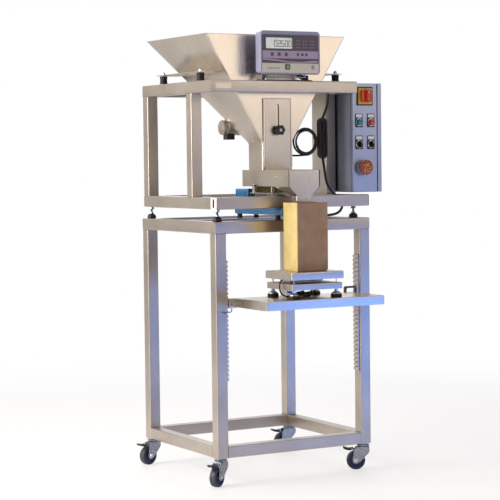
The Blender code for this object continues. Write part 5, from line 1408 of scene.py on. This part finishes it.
def makeCables():
    bm = newMesh()
    x, y, z = cables["hank"]
    path = [(0.345, 0.0400, 1.292), (0.345, 0.048, 1.292), (0.366, 0.0625, 1.278),
            (0.420, 0.0670, 1.2405), (0.478, 0.0690, 1.2185),
            (0.4945, 0.085, 1.2085), (0.5030, 0.108, 1.170), (x, y, z + 0.066)]
    addWire(bm, smoothRoute(path, 7), cables["control"], 14)
    for lane in range(3):  # the spare length, folded into a hank
        offset = (lane - 1) * 0.0072
        ends = [(x + 0.0128 * math.cos(a), y + offset + 0.0006 * math.sin(3 * a), z
                 + (0.0530 if math.sin(a) > 0 else -0.0530)
                 + 0.0135 * math.sin(a)) for a in around(24)]
        addWire(bm, ends, cables["control"], 12, closed=True)
    for lane in range(2):  # and the strands that fill its middle
        offset = (lane - 0.5) * 0.0085
        addWire(bm, smoothRoute([(x + 0.0030 * math.sin(k * 1.7 + lane), y + offset, z - 0.0630
                                  + k * 0.0210)
                                 for k in range(7)], 6), cables["control"], 12)
    for dz in (-0.012, 0.018):
        tie = [(x + 0.0172 * math.cos(a), y + 0.0115 * math.sin(a), z + dz) for a in around(28)]
        addWire(bm, tie, 0.0011, 8, 1, closed=True)
    path = [(x, y, z - 0.066), (0.4920, 0.112, 0.960), (0.4960, 0.095, 0.895), (0.5180, 0.066, 0.852),
            (0.5270, 0.053, 0.825),
            (0.5080, 0.049, 0.8030), (0.4700, 0.049, 0.7950), (0.410, 0.054, 0.7950),
            (0.370, 0.062, 0.8065), (0.350, 0.066, 0.8125),
            (0.3288, *drive["gland"])]
    addWire(bm, smoothRoute(path, 7), cables["control"], 14)
    addTurned(bm, [(0, 0.0085), (0.0052, 0.0085), (0.0060, 0.0078), (0.0060, 0), (0, 0)],
              facing(0.3288, *drive["gland"], (1, 0, 0)), 20, 1)
    finishPiece("controlCable", bm, "machine", ("cable", "black"), ("control_cable",))

    bm = newMesh()
    (cx, cy, cz), r = cables["coil"], cables["coilRadius"]
    path = [(0.2632, 0.267, 1.100), (0.274, 0.267, 1.100), (0.302, 0.258, 1.080), (0.345, 0.215, 1.022),
            (0.385, 0.160, 1.002)]
    path += [(cx + r * math.cos(math.radians(a)), cy, cz + r * math.sin(math.radians(a)))
             for a in range(-95, 131, 25)]
    addWire(bm, smoothRoute(path, 7), cables["vibrator"], 12)
    for turn, (shift, wide) in enumerate(((-0.0060, 0.0405), (0.0062, 0.0440), (0.0004, 0.0385))):
        coil = [(cx + 0.0015 * turn - 0.001 + wide * math.cos(a), cy + shift
                 + 0.0015 * math.sin(2 * a + turn),
                 cz + wide * math.sin(a)) for a in around(56)]
        addWire(bm, coil, cables["vibrator"], 12, closed=True)
    for a in (0.35, 3.6):  # cable ties round the coil
        centre = Vector((cx + 0.0420 * math.cos(a), cy, cz + 0.0420 * math.sin(a)))
        outward = Vector((math.cos(a), 0, math.sin(a)))
        addWire(bm, [centre + outward * 0.0085 * math.cos(b) + Vector((0, 0.0108 * math.sin(b), 0))
                     for b in around(24)], 0.0010, 8, closed=True)
    finishPiece("vibratorCable", bm, "machine", ("cable",), ("vibrator_cable",))

    deck = shelf["top"] + 0.0026
    path = [(0.2172, -0.095, 0.597), (0.2080, -0.095, 0.5968), (0.184, -0.103, 0.585),
            (0.178, -0.110, 0.559),
            (0.194, -0.112, deck + 0.006), (0.236, -0.122, deck), (0.276, -0.122, deck),
            (0.304, -0.090, deck),
            (0.281, -0.060, deck), (0.236, -0.064, deck), (0.221, -0.095, deck),
            (0.256, -0.115, deck + 0.0055),
            (0.296, -0.100, deck + 0.012), (0.322, -0.080, deck + 0.018), (0.3235, -0.076, 0.5572)]
    bm = newMesh()
    addWire(bm, smoothRoute(path, 7), cables["scale"], 12)
    loops = ((0.272, -0.092, 0.034, 0.019), (0.292, -0.084, 0.027, 0.024), (0.258, -0.078, 0.030, 0.016))
    for k, (cx, cy, wide, deep) in enumerate(loops):
        loop = [(cx + wide * math.cos(a), cy + deep * math.sin(a), deck + 0.0045 + 0.0042 * k
                 + 0.0022 * math.sin(2 * a + k))
                for a in around(48)]
        addWire(bm, loop, cables["scale"], 10, closed=True)
    finishPiece("scaleCable", bm, "shelf", ("cable",), ("scale_cable",))


makeCables()
print("cables made")

# room
scene = bpy.context.scene
room = {"floor": "#f3f3f5", "backdrop": "#ffffff", "meltFrom": 1.4, "meltTo": 3.4, "dim": "#515462",
        "pale": "#e8e1da",
        "brightest": (-0.50, 0.80, 0.33)}


def makeRoom():
    floorLook, tree, shader = newFinish("paleStudioFloor", room["floor"], 0.0, 0.6)
    coords = addNode(tree, "ShaderNodeTexCoord")
    faint = addNoise(tree, coords, "Object", 0.6, 2.0)
    mottle(tree, shader, faint, "Fac", ("#f1f1f4", "#f8f8f9"), (0.5, 0.6), 0.02, 0.05)
    # away from the object the floor gives way to the backdrop's own brightness, so that no horizon shows
    far = addNode(tree, "ShaderNodeVectorMath", links={0: (coords, "Object")}, operation="LENGTH")
    melt = addNode(tree, "ShaderNodeMapRange", values={"From Min": room["meltFrom"],
                                                       "From Max": room["meltTo"],
                                                           "To Min": 0.6},
                   links={"Value": (far, "Value")}, interpolation_type="SMOOTHSTEP")
    eyes = addNode(tree, "ShaderNodeLightPath")
    seen = addNode(tree, "ShaderNodeMath", links={0: (melt, "Result"), 1: (eyes, "Is Camera Ray")},
                   operation="MULTIPLY")
    glow = addNode(tree, "ShaderNodeEmission", values={"Color": toLinear(room["backdrop"]),
                                                       "Strength": 1.0})
    both = addNode(tree, "ShaderNodeMixShader", links={0: (seen, 0), 1: (shader, "BSDF"),
                                                       2: (glow, "Emission")})
    tree.links.new(both.outputs[0], tree.nodes["Material Output"].inputs["Surface"])
    mesh = bpy.data.meshes.new("studioFloor")
    mesh.from_pydata([(-40, -40, 0), (40, -40, 0), (40, 40, 0), (-40, 40, 0)], [], [(0, 1, 2, 3)])
    mesh.materials.append(floorLook)
    floor = bpy.data.objects.new("studioFloor", mesh)
    scene.collection.objects.link(floor)

    world = bpy.data.worlds.new("studioRoom")
    scene.world = world
    world.use_nodes = True
    tree = world.node_tree
    background = tree.nodes["Background"]
    coords = addNode(tree, "ShaderNodeTexCoord")
    side = addNode(tree, "ShaderNodeVectorMath", values={1: room["brightest"]},
                   links={0: (coords, "Generated")},
                   operation="DOT_PRODUCT")
    reach = addNode(tree, "ShaderNodeMapRange", values={"From Min": -1.0, "From Max": 1.0},
                    links={"Value": (side, "Value")})
    shade = addNode(tree, "ShaderNodeValToRGB", links={"Fac": (reach, "Result")})
    shade.color_ramp.elements[0].color = toLinear(room["dim"])
    shade.color_ramp.elements[0].position = 0.15
    shade.color_ramp.elements[1].color = toLinear(room["pale"])
    shade.color_ramp.elements[1].position = 0.85
    path = addNode(tree, "ShaderNodeLightPath")
    seen = addNode(tree, "ShaderNodeMix", data_type="RGBA",
                   links={0: (path, "Is Camera Ray"), 6: (shade, "Color")},
                   values={7: toLinear(room["backdrop"])})
    tree.links.new(seen.outputs[2], background.inputs["Color"])
    background.inputs["Strength"].default_value = 1.0


lamps = {  # where it hangs, what it looks at, width, height, watts, colour
    "leftKey": ((-2.9, 0.35, 1.7), (0.0, 0.0, 0.8), 1.6, 2.2, 105, "#fff5e6"),
    "warmFront": ((1.5, -2.9, 1.85), (0.1, 0.0, 1.10), 2.0, 1.4, 15, "#fff0dd"),
    "blueLow": ((1.75, -2.3, 0.26), (0.3, 0.0, 0.35), 1.7, 0.5, 8.5, "#1b84ff"),
    "overhead": ((0.0, 0.4, 3.4), (0.0, 0.0, 0.8), 2.4, 2.4, 22, "#ffffff"),
    "behindRim": ((1.2, 3.0, 2.2), (0.0, 0.2, 1.0), 2.0, 1.6, 18, "#eaf0ff"),
}


def makeLamps():
    for name, (spot, target, wide, tall, power, colour) in lamps.items():
        light = bpy.data.lights.new(name, "AREA")
        light.shape, light.size, light.size_y, light.energy = "RECTANGLE", wide, tall, power
        light.color = toLinear(colour)[:3]
        lamp = bpy.data.objects.new(name, light)
        lamp.location = spot
        lamp.rotation_euler = (Vector(target) - Vector(spot)).to_track_quat("-Z", "Y").to_euler()
        scene.collection.objects.link(lamp)


camera = {"spot": (-3.0124, -5.1581, 1.079), "yaw": 29.49, "pitch": -2.98, "roll": -0.67, "lens": 124.4}


def makeCamera():
    yaw, pitch, roll = (math.radians(camera[key]) for key in ("yaw", "pitch", "roll"))
    right = Vector((math.cos(yaw), -math.sin(yaw), 0))
    ahead = Vector((math.sin(yaw) * math.cos(pitch), math.cos(yaw) * math.cos(pitch), math.sin(pitch)))
    up = right.cross(ahead)
    tilted = (right * math.cos(roll) + up * math.sin(roll),
              up * math.cos(roll) - right * math.sin(roll), -ahead)
    lens = bpy.data.cameras.new("frontLeftView")
    lens.lens, lens.sensor_width = camera["lens"], 36
    lens.clip_end = 100
    eye = bpy.data.objects.new("frontLeftView", lens)
    eye.matrix_world = Matrix.Translation(camera["spot"]) @ Matrix(tilted).transposed().to_4x4()
    scene.collection.objects.link(eye)
    scene.camera = eye


makeRoom()
makeLamps()
makeCamera()
scene.view_settings.view_transform = "Standard"
